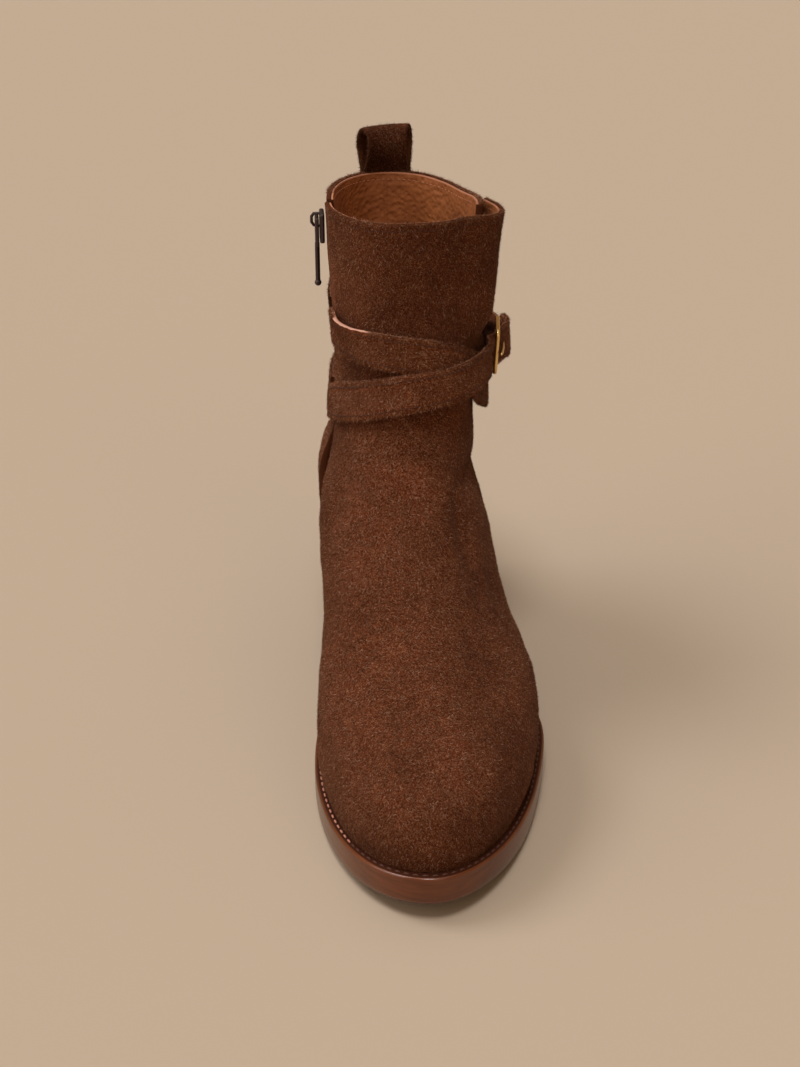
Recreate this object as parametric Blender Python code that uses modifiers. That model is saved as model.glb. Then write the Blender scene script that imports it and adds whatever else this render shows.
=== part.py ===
"""Suede ankle boot for the left foot: crossed straps, brass buckle, inside zip, pull loop, welted sole.

Sizes are in millimetres and are turned to metres where a mesh is made. "Station" is the distance from
the back of the sole towards the toe, "across" is positive to the outer (lateral) side, "around" runs
round the upper from 0 at the front through 0.25 outside and 0.5 at the back to 0.75 inside.
In the finished model the toe points to -Y, the outer side to +X, and the sole stands on z = 0.
"""

import math
from bisect import bisect_right
from collections import namedtuple
from functools import lru_cache

import bmesh
import bpy
from mathutils import Matrix, Vector

MM = 0.001
GAP = 0.3

# Driving sizes of the sole
SOLE_LENGTH = 264.0
BALL_MEDIAL = 44.7
BALL_LATERAL = 50.5
BALL_STATION = 168.0
JOINT_SKEW = 11.0
LATERAL_TAPER = 0.23
SOLE_FLARE = 3.0
FLARE_STATION = 150.0
FLARE_SPREAD = 28.0
TOE_X = -2.5
HEEL_X = -3.6
WAIST_STATION = 105.0
WAIST_SPREAD = 38.0
WAIST_MEDIAL = 15.0
WAIST_LATERAL = 10.0
WELT_THICK = 3.0
WELT_WIDTH = 7.6
WELT_MARGIN = 4.6
FOREFOOT_THICK = 9.8
WAIST_THICK = 9.0
FOREFOOT_TOP = WELT_THICK + FOREFOOT_THICK
HEEL_TOP = 37.0
FLAT_BACK = 150.0
HEEL_FRONT = 50.0
SPRING_START = 190.0
TOE_SPRING = 9.0
EDGE_ROUND = 1.2
HEEL_BREAST = 64.0
HEEL_TAPER = 2.5
LIFT_THICK = 6.0
INSOLE_THICK = 2.5

# Driving sizes of the upper
WALL = 2.6
QUARTER_STEP = 1.3
FLAP_STEP = 2.6
FLAP_THICK = 1.9
FLAP_BULGE = 6.5
FLAP_FULL = 0.15
FLAP_LOW = 0.692
FLAP_HIGH = 0.706
FLAP_ROOT = 0.078
FLAP_EDGE = 0.225
FLAP_TIGHT = 0.72
FLAP_LOOSE = 0.81
SEAM_AROUND = 0.285
SEAM_BEND = 0.47
SEAM_LEAN = 0.13
ZIP_AROUND = 0.765
ZIP_BEND = 0.54
ZIP_LEAN = 0.24
ZIP_SLOT = 7.0
ZIP_LOW = 50.0
LOOP_WIDTH = 21.0
LOOP_THICK = 1.6

# Driving sizes of the straps, buckle and zip slider
STRAP_WIDTH = 15.0
STRAP_THICK = 2.1
BASE_THICK = 1.3
BUCKLE_BAR = 2.4
BUCKLE_TALL = 21.0
BUCKLE_CORNER = 1.7
PRONG_BAR = 1.6
PRONG_SLOT = 1.5
BUCKLE_HEIGHT = 140.5
END_BAR_AROUND = 0.24
REAR_BAR_AROUND = 0.296
END_BAR_LIFT = 9.8
REAR_BAR_LIFT = 12.8
FOLD_RADIUS = BUCKLE_BAR / 2 + 0.45
SLIDER_WIDE = 8.4
SLIDER_TALL = 12.5
SLIDER_LIFT = 0.5
SLIDER_THICK = 2.0
HINGE_HEIGHT = 204.5
HINGE_LIFT = 3.6
BAIL_BAR = 1.3
PULL_WIDE = 7.4
PULL_RING = 12.5
PULL_THICK = 1.6
PULL_HOLE_WIDE = 3.6
PULL_HOLE_LONG = 6.0
PULL_ROD = 2.0
PULL_ROD_LONG = 17.0
PULL_BALL = 2.9

Ring = namedtuple(
    "Ring",
    "front front_z back back_z medial lateral widest front_power back_power waist follow flare",
    defaults=(0.0,),
)
SOLE = Ring(SOLE_LENGTH, 0, 0, 0, BALL_MEDIAL, BALL_LATERAL, BALL_STATION, 2.0, 2.6, 1.0, 1.0, 1.0)


def smooth(low, high, value):
    """0 below low, 1 above high, with a soft start and end."""
    t = min(1.0, max(0.0, (value - low) / (high - low)))
    return t * t * (3 - 2 * t)


def mix(a, b, t):
    return a + (b - a) * t


def spring(station):
    """Rise of the sole towards the toe."""
    return TOE_SPRING * max(0.0, (station - SPRING_START) / (SOLE_LENGTH - SPRING_START)) ** 2


def sole_top(station):
    """Height of the welt's top, on which the upper stands."""
    return mix(HEEL_TOP, FOREFOOT_TOP, smooth(HEEL_FRONT, FLAT_BACK, station)) + spring(station)


def sole_low(station):
    """Height of the outsole's underside."""
    thick = mix(WAIST_THICK, FOREFOOT_THICK, smooth(HEEL_FRONT, FLAT_BACK, station))
    return sole_top(station) - WELT_THICK - thick


# The upper's outer surface, a row for each section from the feather edge up to the collar.
# Each section is a tilted ring: its front and back points, half widths, squareness and how far
# it follows the curve of the sole.
FEATHER_FRONT = SOLE_LENGTH - WELT_MARGIN
FEATHER_BACK = WELT_MARGIN
FEATHER_Z = sole_top(FEATHER_FRONT) + GAP
RINGS = [
    Ring(FEATHER_FRONT, FEATHER_Z, FEATHER_BACK, HEEL_TOP + GAP, 41.0, 45.8, 170, 2.0, 2.6, 1.0, 1.0),
    Ring(260.5, 33, 3.0, 44, 43.0, 47.8, 169, 2.05, 2.6, 0.85, 1.0),
    Ring(255.0, 43, 1.8, 51, 42.6, 48.0, 166, 2.1, 2.6, 0.70, 0.95),
    Ring(240.0, 51, 1.5, 58, 42.0, 46.6, 161, 2.15, 2.6, 0.50, 0.85),
    Ring(210.0, 60, 2.0, 66, 40.0, 40.8, 143, 2.3, 2.6, 0.25, 0.65),
    Ring(174.0, 75, 3.5, 77, 38.8, 35.0, 100, 2.3, 2.5, 0.05, 0.35),
    Ring(142.0, 97, 7.0, 91, 37.6, 30.4, 74, 2.3, 2.4, 0.0, 0.1),
    Ring(121.0, 124, 11.0, 109, 30.6, 29.6, 66, 2.25, 2.3, 0.0, 0.0),
    Ring(112.5, 152, 12.5, 133, 28.6, 30.6, 64, 2.2, 2.25, 0.0, 0.0),
    Ring(111.0, 185, 11.5, 166, 30.4, 32.4, 66, 2.2, 2.2, 0.0, 0.0),
    Ring(113.0, 217.5, 9.0, 203, 32.0, 35.0, 70, 2.2, 2.2, 0.0, 0.0),
]
HALF_SAMPLES = 96


def ring_knots():
    """Distance up the upper of each row, halfway between its front and its back profile."""
    knots = [0.0]
    for low, high in zip(RINGS, RINGS[1:]):
        front = math.hypot(high.front - low.front, high.front_z - low.front_z)
        back = math.hypot(high.back - low.back, high.back_z - low.back_z)
        knots.append(knots[-1] + (front + back) / 2)
    return [k / knots[-1] for k in knots]


KNOTS = ring_knots()


def slopes(values):
    """Tangents of a smooth curve through the values at the knots."""
    steps = [(b - a) / (k - j) for a, b, j, k in zip(values, values[1:], KNOTS, KNOTS[1:])]
    inner = []
    for i in range(1, len(values) - 1):
        before, after = KNOTS[i] - KNOTS[i - 1], KNOTS[i + 1] - KNOTS[i]
        inner.append((steps[i - 1] * after + steps[i] * before) / (before + after))
    return [steps[0], *inner, steps[-1]]


COLUMNS = [list(column) for column in zip(*RINGS)]
SLOPES = [slopes(column) for column in COLUMNS]


@lru_cache(maxsize=None)
def ring_at(up):
    """The section at a height from 0, the feather edge, to 1, the collar."""
    i = min(len(KNOTS) - 2, max(0, bisect_right(KNOTS, up) - 1))
    wide = KNOTS[i + 1] - KNOTS[i]
    t = (up - KNOTS[i]) / wide
    h = (2 * t**3 - 3 * t**2 + 1, (t**3 - 2 * t**2 + t) * wide, 3 * t**2 - 2 * t**3, (t**3 - t**2) * wide)
    made = [
        h[0] * c[i] + h[1] * s[i] + h[2] * c[i + 1] + h[3] * s[i + 1]
        for c, s in zip(COLUMNS, SLOPES)
    ]
    return Ring(*made)


def half_width(ring, side, station):
    """Distance across from the middle line to the outline, on the outer (1) or inner (-1) side."""
    widest = ring.widest - side * JOINT_SKEW * ring.follow
    half, waist = (ring.lateral, WAIST_LATERAL) if side > 0 else (ring.medial, WAIST_MEDIAL)
    if station >= widest:
        share = min(1.0, (station - widest) / (ring.front - widest))
        power = ring.front_power - (LATERAL_TAPER * ring.follow if side > 0 else 0)
        middle = TOE_X * ring.follow * share**2
    else:
        share = min(1.0, (widest - station) / (widest - ring.back))
        power = ring.back_power
        middle = HEEL_X * share**2
    pinch = waist * ring.waist * math.exp(-(((station - WAIST_STATION) / WAIST_SPREAD) ** 2))
    if side > 0:
        pinch -= SOLE_FLARE * ring.flare * math.exp(-(((station - FLARE_STATION) / FLARE_SPREAD) ** 2))
    return side * (half * max(0.0, 1 - share**power) ** (1 / power) - pinch) + middle


def ring_height(ring, station):
    """Height of a tilted section at a station, following the sole as far as the row says."""
    share = (ring.front - station) / (ring.front - ring.back)
    chord = mix(sole_top(ring.front), sole_top(ring.back), share)
    return mix(ring.front_z, ring.back_z, share) + ring.follow * (sole_top(station) - chord)


@lru_cache(maxsize=None)
def half_ring(up, side):
    """Points of one side of a section from front to back, with their distance along it."""
    ring = ring_at(up)
    points, along = [], [0.0]
    for k in range(HALF_SAMPLES + 1):
        turn = math.cos(math.pi * k / HALF_SAMPLES)
        station = mix(ring.back, ring.front, (turn + 1) / 2)
        points.append(Vector((half_width(ring, side, station), station, ring_height(ring, station))))
    for a, b in zip(points, points[1:]):
        along.append(along[-1] + (b - a).length)
    return points, along


@lru_cache(maxsize=None)
def girth(up):
    return half_ring(up, 1)[1][-1] + half_ring(up, -1)[1][-1]


@lru_cache(maxsize=None)
def on_upper(around, up):
    """A point of the upper's outer surface as (across, station, height)."""
    turn = around % 1.0
    side, share = (1, turn * 2) if turn <= 0.5 else (-1, (1 - turn) * 2)
    points, along = half_ring(up, side)
    reach = share * along[-1]
    i = min(len(points) - 2, max(0, bisect_right(along, reach) - 1))
    return points[i].lerp(points[i + 1], (reach - along[i]) / (along[i + 1] - along[i]))


def outward(around, up):
    """Unit normal of the upper's outer surface."""
    d = 0.004
    low, high = max(0.0, up - d), min(1.0, up + d)
    along = on_upper(around + d, up) - on_upper(around - d, up)
    rise = on_upper(around, high) - on_upper(around, low)
    return rise.cross(along).normalized()


@lru_cache(maxsize=None)
def up_at(around, height):
    """How far up the upper a height lies at a place around it."""
    low, high = 0.0, 1.0
    for _ in range(40):
        middle = (low + high) / 2
        if on_upper(around, middle).z < height:
            low = middle
        else:
            high = middle
    return (low + high) / 2


def lifted(around, up, lift):
    """A point at a distance outside the upper's outer surface."""
    return on_upper(around, up) + outward(around, up) * lift


CENTRE_X = (BALL_LATERAL - BALL_MEDIAL) / 2


def place(point):
    """Turns (across, station, height) in millimetres into the model's frame in metres."""
    return Vector((point[0] - CENTRE_X, SOLE_LENGTH / 2 - point[1], point[2])) * MM


def clear_scene():
    for obj in list(bpy.data.objects):
        bpy.data.objects.remove(obj)


def material(name, colour, roughness, metallic=0.0):
    made = bpy.data.materials.new(name)
    made.use_nodes = True
    shader = made.node_tree.nodes["Principled BSDF"]
    shader.inputs["Base Color"].default_value = (*colour, 1)
    shader.inputs["Roughness"].default_value = roughness
    shader.inputs["Metallic"].default_value = metallic
    return made


def add_object(name, mesh, finish, matrix=None):
    obj = bpy.data.objects.new(name, mesh)
    obj.data.materials.append(finish)
    BOOT.objects.link(obj)
    obj.parent = ROOT
    if matrix is not None:
        obj.matrix_world = matrix
    for polygon in mesh.polygons:
        polygon.use_smooth = True
    mesh.set_sharp_from_angle(angle=math.radians(35))
    return obj


def loft(name, sections, finish):
    """A closed solid through closed sections with equal counts of points."""
    bm = bmesh.new()
    rings = [[bm.verts.new(place(p)) for p in section] for section in sections]
    count = len(rings[0])
    for a, b in zip(rings, rings[1:]):
        for i in range(count):
            j = (i + 1) % count
            bm.faces.new((a[i], a[j], b[j], b[i]))
    bm.faces.new(rings[0][::-1])
    bm.faces.new(rings[-1])
    bmesh.ops.recalc_face_normals(bm, faces=bm.faces)
    mesh = bpy.data.meshes.new(name)
    bm.to_mesh(mesh)
    bm.free()
    return add_object(name, mesh, finish)


def sheet(name, grid, thick, finish, closed=False, skip=(), side=1):
    """A shell: an open grid of points with a Solidify modifier that adds its thickness on one side."""
    bm = bmesh.new()
    rows = [[bm.verts.new(place(p)) for p in row] for row in grid]
    columns = len(rows[0])
    for r, (a, b) in enumerate(zip(rows, rows[1:])):
        for i in range(columns if closed else columns - 1):
            j = (i + 1) % columns
            if (r, i) not in skip:
                bm.faces.new((a[i], a[j], b[j], b[i]))
    mesh = bpy.data.meshes.new(name)
    bm.to_mesh(mesh)
    bm.free()
    obj = add_object(name, mesh, finish)
    shell = obj.modifiers.new("thickness", "SOLIDIFY")
    shell.thickness = thick * MM
    shell.offset = side
    return obj


# The sole

SOLE_STATIONS = 38


def stations(front, back, count=SOLE_STATIONS):
    """Stations from back to front, closer together at the rounded ends."""
    inset = 0.12
    shares = [(1 - math.cos(math.pi * k / count)) / 2 for k in range(count + 1)]
    return [mix(back + inset, front - inset, share) for share in shares]


def inset_ring(margin):
    """The sole's outline drawn in by a margin."""
    return SOLE._replace(
        front=SOLE.front - margin,
        back=SOLE.back + margin,
        medial=SOLE.medial - margin,
        lateral=SOLE.lateral - margin,
        flare=0.0,
    )


def plate_section(ring, station, low, high):
    """A cross-section of a sole layer, with softened edges, in order round it."""
    inner, outer = half_width(ring, -1, station), half_width(ring, 1, station)
    soft = min(EDGE_ROUND, (outer - inner) / 6, (high - low) / 4)
    return [
        (inner + soft, station, high),
        (outer - soft, station, high),
        (outer, station, high - soft),
        (outer, station, low + soft),
        (outer - soft, station, low),
        (inner + soft, station, low),
        (inner, station, low + soft),
        (inner, station, high - soft),
    ]


def build_outsole():
    sections = [
        plate_section(SOLE, s, sole_low(s), sole_top(s) - WELT_THICK - GAP)
        for s in stations(SOLE.front, SOLE.back)
    ]
    return loft("outsole", sections, FINISH["sole"])


def outline_loop(ring, count):
    """Points round a sole outline as (across, station), from the toe by the outer side."""
    points = []
    for side in (1, -1):
        half = stations(ring.front, ring.back, count)[:: -side]
        points += [(half_width(ring, side, s), s) for s in half]
    return points


def build_welt():
    """The stitched strip between outsole and upper, closed all round the foot."""
    count = 34
    outer, inner = outline_loop(SOLE, count), outline_loop(inset_ring(WELT_WIDTH), count)
    sections = []
    for (xo, so), (xi, si) in zip(outer, inner):
        soft = 0.8
        edge = Vector((xi - xo, si - so, 0)).normalized() * soft
        top, low = sole_top(so), sole_top(so) - WELT_THICK
        sections.append([
            (xo + edge.x, so + edge.y, top),
            (xi, si, sole_top(si)),
            (xi, si, sole_top(si) - WELT_THICK),
            (xo + edge.x, so + edge.y, low),
            (xo, so, low + soft),
            (xo, so, top - soft),
        ])
    return tube_ring("welt", sections, FINISH["welt"])


def tube_ring(name, sections, finish):
    """A closed ring through sections, the last joined to the first."""
    bm = bmesh.new()
    rings = [[bm.verts.new(place(p)) for p in section] for section in sections]
    count = len(rings[0])
    for a, b in zip(rings, rings[1:] + rings[:1]):
        for i in range(count):
            j = (i + 1) % count
            bm.faces.new((a[i], a[j], b[j], b[i]))
    bmesh.ops.recalc_face_normals(bm, faces=bm.faces)
    mesh = bpy.data.meshes.new(name)
    bm.to_mesh(mesh)
    bm.free()
    return add_object(name, mesh, finish)


def build_insole():
    """The footbed, which lies on the outsole inside the welt and the upper."""
    ring = inset_ring(WELT_WIDTH + 0.9)
    sections = [
        plate_section(ring, s, sole_top(s) - WELT_THICK, sole_top(s) + INSOLE_THICK)
        for s in stations(ring.front, ring.back)
    ]
    return loft("insole", sections, FINISH["lining"])


def heel_edge(ring, share):
    """Both edges of a heel outline, from its rounded back (0) to its straight front (1)."""
    station = mix(ring.back + 0.1, ring.front, 1 - math.cos(math.pi / 2 * share))
    whole = ring._replace(front=SOLE.front)
    return half_width(whole, -1, station), half_width(whole, 1, station), station


def heel_loft(name, low_ring, low, high_ring, high, finish):
    """A heel layer between two outlines. Heights are functions of the station."""
    count = 14
    sections = []
    for k in range(count + 1):
        inner_high, outer_high, station_high = heel_edge(high_ring, k / count)
        inner_low, outer_low, station_low = heel_edge(low_ring, k / count)
        sections.append([
            (inner_high, station_high, high(station_high)),
            (outer_high, station_high, high(station_high)),
            (outer_low, station_low, low),
            (inner_low, station_low, low),
        ])
    return loft(name, sections, finish)


def build_heel():
    """The stacked heel and its top lift. Each narrows a little towards the floor."""
    seat = inset_ring(0.3)._replace(front=HEEL_BREAST)
    foot = inset_ring(HEEL_TAPER)._replace(front=HEEL_BREAST - 4.0)
    floor = inset_ring(HEEL_TAPER + 0.5)._replace(front=HEEL_BREAST - 4.4)
    heel_loft("heel_block", foot, LIFT_THICK + GAP, seat, lambda s: sole_low(s) - GAP, FINISH["heel"])
    heel_loft("top_lift", floor, 0.0, foot, lambda s: LIFT_THICK, FINISH["lift"])


# The upper

RING_SPLITS = 2


def upper_levels():
    """Heights of the upper's rings: each row of the table, with one ring between."""
    levels = []
    for low, high in zip(KNOTS, KNOTS[1:]):
        levels += [mix(low, high, k / RING_SPLITS) for k in range(RING_SPLITS)]
    return sorted([*levels, FLAP_HIGH, 1.0])


def flap_share(up):
    """0 below the straps, 1 where the front panel's outer edge is free."""
    return smooth(FLAP_LOW, FLAP_HIGH, up)


def seam_at(up):
    """Place of the front panel's outer edge below the straps, straight down to the welt."""
    return SEAM_AROUND + SEAM_LEAN * max(0.0, SEAM_BEND - up)


def zip_at(up):
    """Place of the zip's middle, straight down the inner side to the waist of the sole."""
    return ZIP_AROUND - ZIP_LEAN * max(0.0, ZIP_BEND - up)


SEGMENT_COUNTS = (14, 1, 14, 14, 2, 14)


def column_anchors(up):
    """Places round the upper that rings share: seam, back, and both edges of the zip."""
    reach = girth(up)
    seam = mix(seam_at(up), FLAP_ROOT, flap_share(up))
    half = ZIP_SLOT / 2 / reach
    return (0.0, seam, seam + 0.8 / reach, 0.5, zip_at(up) - half, zip_at(up) + half, 1.0)


def recess(column, up):
    """Depth of the quarter below the front panel, which overlaps it."""
    seam, zip_front = SEGMENT_COUNTS[0], sum(SEGMENT_COUNTS[:5])
    if column <= seam or column >= zip_front:
        return 0.0
    under_flap = flap_share(up) * (1 - smooth(0.3, 0.5, quarter_share(column)))
    return mix(QUARTER_STEP, FLAP_STEP, under_flap) * smooth(0.0, 0.06, up)


def quarter_share(column):
    """0 at the seam, 1 at the zip, along the quarter."""
    first, last = SEGMENT_COUNTS[0], sum(SEGMENT_COUNTS[:4])
    return (column - first) / (last - first)


def build_upper():
    levels = upper_levels()
    grid, skip = [], set()
    zip_columns = range(sum(SEGMENT_COUNTS[:4]), sum(SEGMENT_COUNTS[:5]))
    for r, up in enumerate(levels):
        anchors = column_anchors(up)
        row = []
        for low, high, count in zip(anchors, anchors[1:], SEGMENT_COUNTS):
            for k in range(count):
                around = mix(low, high, k / count)
                row.append(lifted(around, up, -recess(len(row), up)))
        grid.append(row)
        if row[zip_columns[0]].z > ZIP_LOW:
            skip |= {(r, i) for i in zip_columns}
    return sheet("upper", grid, WALL, FINISH["suede"], closed=True, skip=skip, side=-1)


def flap_bulge(around, up):
    """How far the front panel's loose outer edge stands off: most at its middle, none at its ends."""
    rise = smooth(FLAP_ROOT, FLAP_FULL, around)
    fall = 1 - smooth(FLAP_FULL, FLAP_EDGE + 0.01, around)
    return FLAP_BULGE * rise * fall * smooth(FLAP_TIGHT, FLAP_LOOSE, up)


def build_flap():
    """The free outer edge of the front panel, which bulges off the quarter and curls back to it."""
    rows, columns = 6, 10
    grid = []
    for r in range(rows + 1):
        up = mix(FLAP_HIGH + 0.006, 1.0, r / rows)
        row = []
        for c in range(columns + 1):
            around = mix(FLAP_ROOT + 0.006, FLAP_EDGE, c / columns)
            row.append(lifted(around, up, flap_bulge(around, up)))
        grid.append(row)
    return sheet("front_flap", grid, FLAP_THICK, FINISH["suede"], side=-1)


LOOP_PATH = (
    # (distance behind the back wall, height above the collar) of the loop's middle line
    (1.3, -26.0), (1.3, -12.0), (1.4, -1.0), (2.6, 5.0), (4.2, 10.0), (4.2, 14.6), (2.4, 18.4),
    (-0.6, 19.8), (-3.6, 18.4), (-5.2, 14.4), (-4.8, 9.6), (-3.0, 5.0), (-1.6, 1.6),
)


def build_pull_loop():
    """A folded strip over the back of the collar: sewn down outside, tucked into the rim inside."""
    across = 4
    reach = girth(1.0)
    grid = []
    for behind, above in LOOP_PATH:
        row = []
        for c in range(across + 1):
            around = 0.5 + (c / across - 0.5) * LOOP_WIDTH / reach
            rim = on_upper(around, 1.0)
            if above < 0:
                up = up_at(around, rim.z + above)
                row.append(lifted(around, up, behind))
            else:
                flat = outward(around, 1.0)
                flat.z = 0
                row.append(rim + flat.normalized() * behind + Vector((0, 0, above)))
        grid.append(row)
    return sheet("pull_loop", grid, LOOP_THICK, FINISH["suede"], side=0)


# The straps

Stop = namedtuple("Stop", "around height lift")
ZIP_FRONT = ZIP_AROUND - 1 + 0.018
ZIP_REAR = ZIP_AROUND - 0.018
UPPER_STRAP = [
    # from the zip's front edge down across the front, low round the outside and the back, to its rear edge
    Stop(ZIP_FRONT, 160.0, 0.9),
    Stop(-0.10, 163.5, 0.9),
    Stop(0.0, 162.5, 0.9),
    Stop(0.085, 153.0, 0.9),
    Stop(0.16, 137.5, 1.3),
    Stop(0.20, 131.0, 2.1),
    Stop(0.24, 125.3, 4.4),
    Stop(0.275, 122.3, 6.2),
    Stop(0.31, 120.3, 5.8),
    Stop(0.35, 118.8, 3.6),
    Stop(0.40, 118.0, 1.2),
    Stop(0.45, 117.8, 0.1),
    Stop(0.50, 118.5, -0.3),
    Stop(0.60, 120.5, -0.3),
    Stop(0.68, 122.0, -0.3),
    Stop(ZIP_REAR, 123.5, -0.3),
]
BUCKLED_STRAP = [
    # from the zip's front edge up across the front, over the other strap, through the buckle to its tip
    Stop(ZIP_FRONT, 125.0, 0.9),
    Stop(-0.10, 138.0, 0.9),
    Stop(-0.035, 145.0, 2.4),
    Stop(0.015, 148.0, 3.8),
    Stop(0.08, 148.4, 3.9),
    Stop(0.135, 147.2, 4.3),
    Stop(0.188, 144.6, 5.3),
    Stop(END_BAR_AROUND, BUCKLE_HEIGHT, 5.5),
    Stop(0.268, BUCKLE_HEIGHT, 10.6),
    Stop(REAR_BAR_AROUND, BUCKLE_HEIGHT, 16.6),
    Stop(0.318, 140.3, 18.8),
    Stop(0.337, 140.2, 20.1),
    Stop(0.352, 140.2, 20.9),
]
BASE_UNDER = [
    # the folded end of the base strap, between the upper and the buckle's rear bar
    Stop(0.352, 143.8, 6.2),
    Stop(0.33, 141.9, 9.0),
]
BASE_STRAP = [
    # from the fold round the rear bar up round the back to the zip's rear edge
    Stop(0.305, 140.8, 14.2),
    Stop(0.33, 142.3, 11.6),
    Stop(0.355, 144.2, 8.7),
    Stop(0.39, 147.2, 4.8),
    Stop(0.43, 150.6, 2.0),
    Stop(0.50, 155.5, 0.2),
    Stop(0.60, 159.0, -0.3),
    Stop(0.68, 160.0, -0.3),
    Stop(ZIP_REAR, 160.0, -0.3),
]
FOLD_STEPS = 6


def fold_line():
    """Stops round the buckle's rear bar, from under it by the front to over it."""
    reach = girth(up_at(REAR_BAR_AROUND, BUCKLE_HEIGHT))
    made = []
    for k in range(FOLD_STEPS + 1):
        turn = math.pi * (k / FOLD_STEPS - 0.5)
        around = REAR_BAR_AROUND - FOLD_RADIUS * math.cos(turn) / reach
        made.append(Stop(around, BUCKLE_HEIGHT, REAR_BAR_LIFT + FOLD_RADIUS * math.sin(turn)))
    return made


def strap_line(stops, splits):
    """Stops along a smooth curve through the given ones."""
    line = []
    for i in range(len(stops) - 1):
        four = [stops[min(max(k, 0), len(stops) - 1)] for k in range(i - 1, i + 3)]
        for k in range(splits):
            t = k / splits
            weights = (
                -0.5 * t + t * t - 0.5 * t**3,
                1 - 2.5 * t * t + 1.5 * t**3,
                0.5 * t + 2 * t * t - 1.5 * t**3,
                -0.5 * t * t + 0.5 * t**3,
            )
            line.append(Stop(*(sum(w * v for w, v in zip(weights, column)) for column in zip(*four))))
    return [*line, stops[-1]]


def strap_grid(line, shares):
    """Rows of points across a strap that lies on the upper along a line of stops."""
    grid = []
    heading = None
    for i, stop in enumerate(line):
        before, after = line[max(0, i - 1)], line[min(len(line) - 1, i + 1)]
        up = up_at(stop.around, stop.height)
        reach = girth(up)
        run = Vector(((after.around - before.around) * reach, after.height - before.height))
        if heading is None or run.length > 1.2 and abs(run.x) > abs(run.y):
            run = run if run.x > 0 else -run
            heading = run.normalized()
        # at the zip the strap's end is cut along the zip's edge
        square = smooth(0.0, 0.06, min(abs(stop.around - ZIP_FRONT), abs(stop.around - ZIP_REAR)))
        row = []
        for share in shares:
            shift = share * STRAP_WIDTH / 2
            around = stop.around - square * heading.y * shift / reach
            height = stop.height + heading.x * shift
            row.append(lifted(around, up_at(around, height), stop.lift))
        grid.append(row)
    return grid


STRAP_SHARES = (-1.0, -0.35, 0.35, 1.0)
SLOT_SHARES = (-1.0, -0.5, -2 * PRONG_SLOT / STRAP_WIDTH, 2 * PRONG_SLOT / STRAP_WIDTH, 0.5, 1.0)
SLOT_COLUMN = 2


def build_straps():
    finish = FINISH["suede"]
    line = strap_line(UPPER_STRAP, 3)
    sheet("strap_upper", strap_grid(line, STRAP_SHARES), STRAP_THICK, finish, side=-1)

    line = strap_line(BUCKLED_STRAP, 4)
    slot = {
        (r, SLOT_COLUMN)
        for r, stop in enumerate(line)
        if END_BAR_AROUND + 0.012 < stop.around < REAR_BAR_AROUND + 0.004
    }
    sheet("strap_buckled", strap_grid(line, SLOT_SHARES), STRAP_THICK, finish, skip=slot, side=-1)

    line = BASE_UNDER + fold_line() + strap_line(BASE_STRAP, 2)
    slot = {(r, SLOT_COLUMN) for r in range(1, FOLD_STEPS + 4)}
    sheet("strap_base", strap_grid(line, SLOT_SHARES), BASE_THICK, finish, skip=slot, side=-1)


# The buckle

def surface_frame(around, height, lift):
    """Matrix of a place on the upper: x forwards round it, y up it, z outwards, in metres."""
    up = up_at(around, height)
    origin = place(lifted(around, up, lift))
    ahead = place(lifted(around - 0.01, up_at(around - 0.01, height), lift)) - origin
    out = place(lifted(around, up, lift + 1)) - origin
    z = out.normalized()
    x = (ahead - z * ahead.dot(z)).normalized()
    y = z.cross(x)
    return Matrix.Translation(origin) @ Matrix((x, y, z)).transposed().to_4x4()


def tube(name, points, bar, finish, cyclic=False):
    """A round bar along points in metres, as a mesh object."""
    curve = bpy.data.curves.new(name, "CURVE")
    curve.dimensions = "3D"
    curve.bevel_depth = bar / 2 * MM
    curve.bevel_resolution = 2
    curve.use_fill_caps = not cyclic
    line = curve.splines.new("POLY")
    line.points.add(len(points) - 1)
    line.use_cyclic_u = cyclic
    for point, co in zip(line.points, points):
        point.co = (*co, 1)
    holder = bpy.data.objects.new(name, curve)
    bpy.context.scene.collection.objects.link(holder)
    bpy.context.view_layer.update()
    graph = bpy.context.evaluated_depsgraph_get()
    mesh = bpy.data.meshes.new_from_object(holder.evaluated_get(graph))
    bpy.data.objects.remove(holder)
    bm = bmesh.new()
    bm.from_mesh(mesh)
    bmesh.ops.remove_doubles(bm, verts=bm.verts, dist=1e-6)
    bm.to_mesh(mesh)
    bm.free()
    mesh.name = name
    return add_object(name, mesh, finish)


def build_buckle():
    """A brass frame: rear bar under the base strap's fold, end bar over the buckled strap."""
    end = surface_frame(END_BAR_AROUND, BUCKLE_HEIGHT, END_BAR_LIFT)
    rear = surface_frame(REAR_BAR_AROUND, BUCKLE_HEIGHT, REAR_BAR_LIFT)
    y = (end.col[1].xyz + rear.col[1].xyz).normalized()
    half = (BUCKLE_TALL - BUCKLE_BAR) / 2 * MM
    corner, steps = BUCKLE_CORNER * MM, 4
    x = (end.translation - rear.translation).normalized()
    points = []
    for base, inward, ups in ((end.translation, -1, (1, -1)), (rear.translation, 1, (-1, 1))):
        for turn, up in enumerate(ups):
            centre = base + x * inward * corner + y * up * (half - corner)
            for k in range(steps + 1):
                angle = math.pi / 2 * (k / steps if turn else 1 - k / steps)
                back, rise = inward * math.cos(angle), up * math.sin(angle)
                points.append(centre + (y * rise - x * back) * corner)
    tube("buckle_frame", points, BUCKLE_BAR, FINISH["brass"], cyclic=True)

    out = x.cross(y).normalized()
    clear = (BUCKLE_BAR / 2 + PRONG_BAR / 2 + GAP) * MM
    tip = end.translation + out * clear + x * 1.6 * MM
    root = rear.translation + out * clear
    middle = root.lerp(tip, 0.55) + out * 0.6 * MM
    points = [root, root.lerp(middle, 0.5), middle, middle.lerp(tip, 0.5), tip]
    tube("buckle_prong", points, PRONG_BAR, FINISH["brass"])


# The zip

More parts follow.
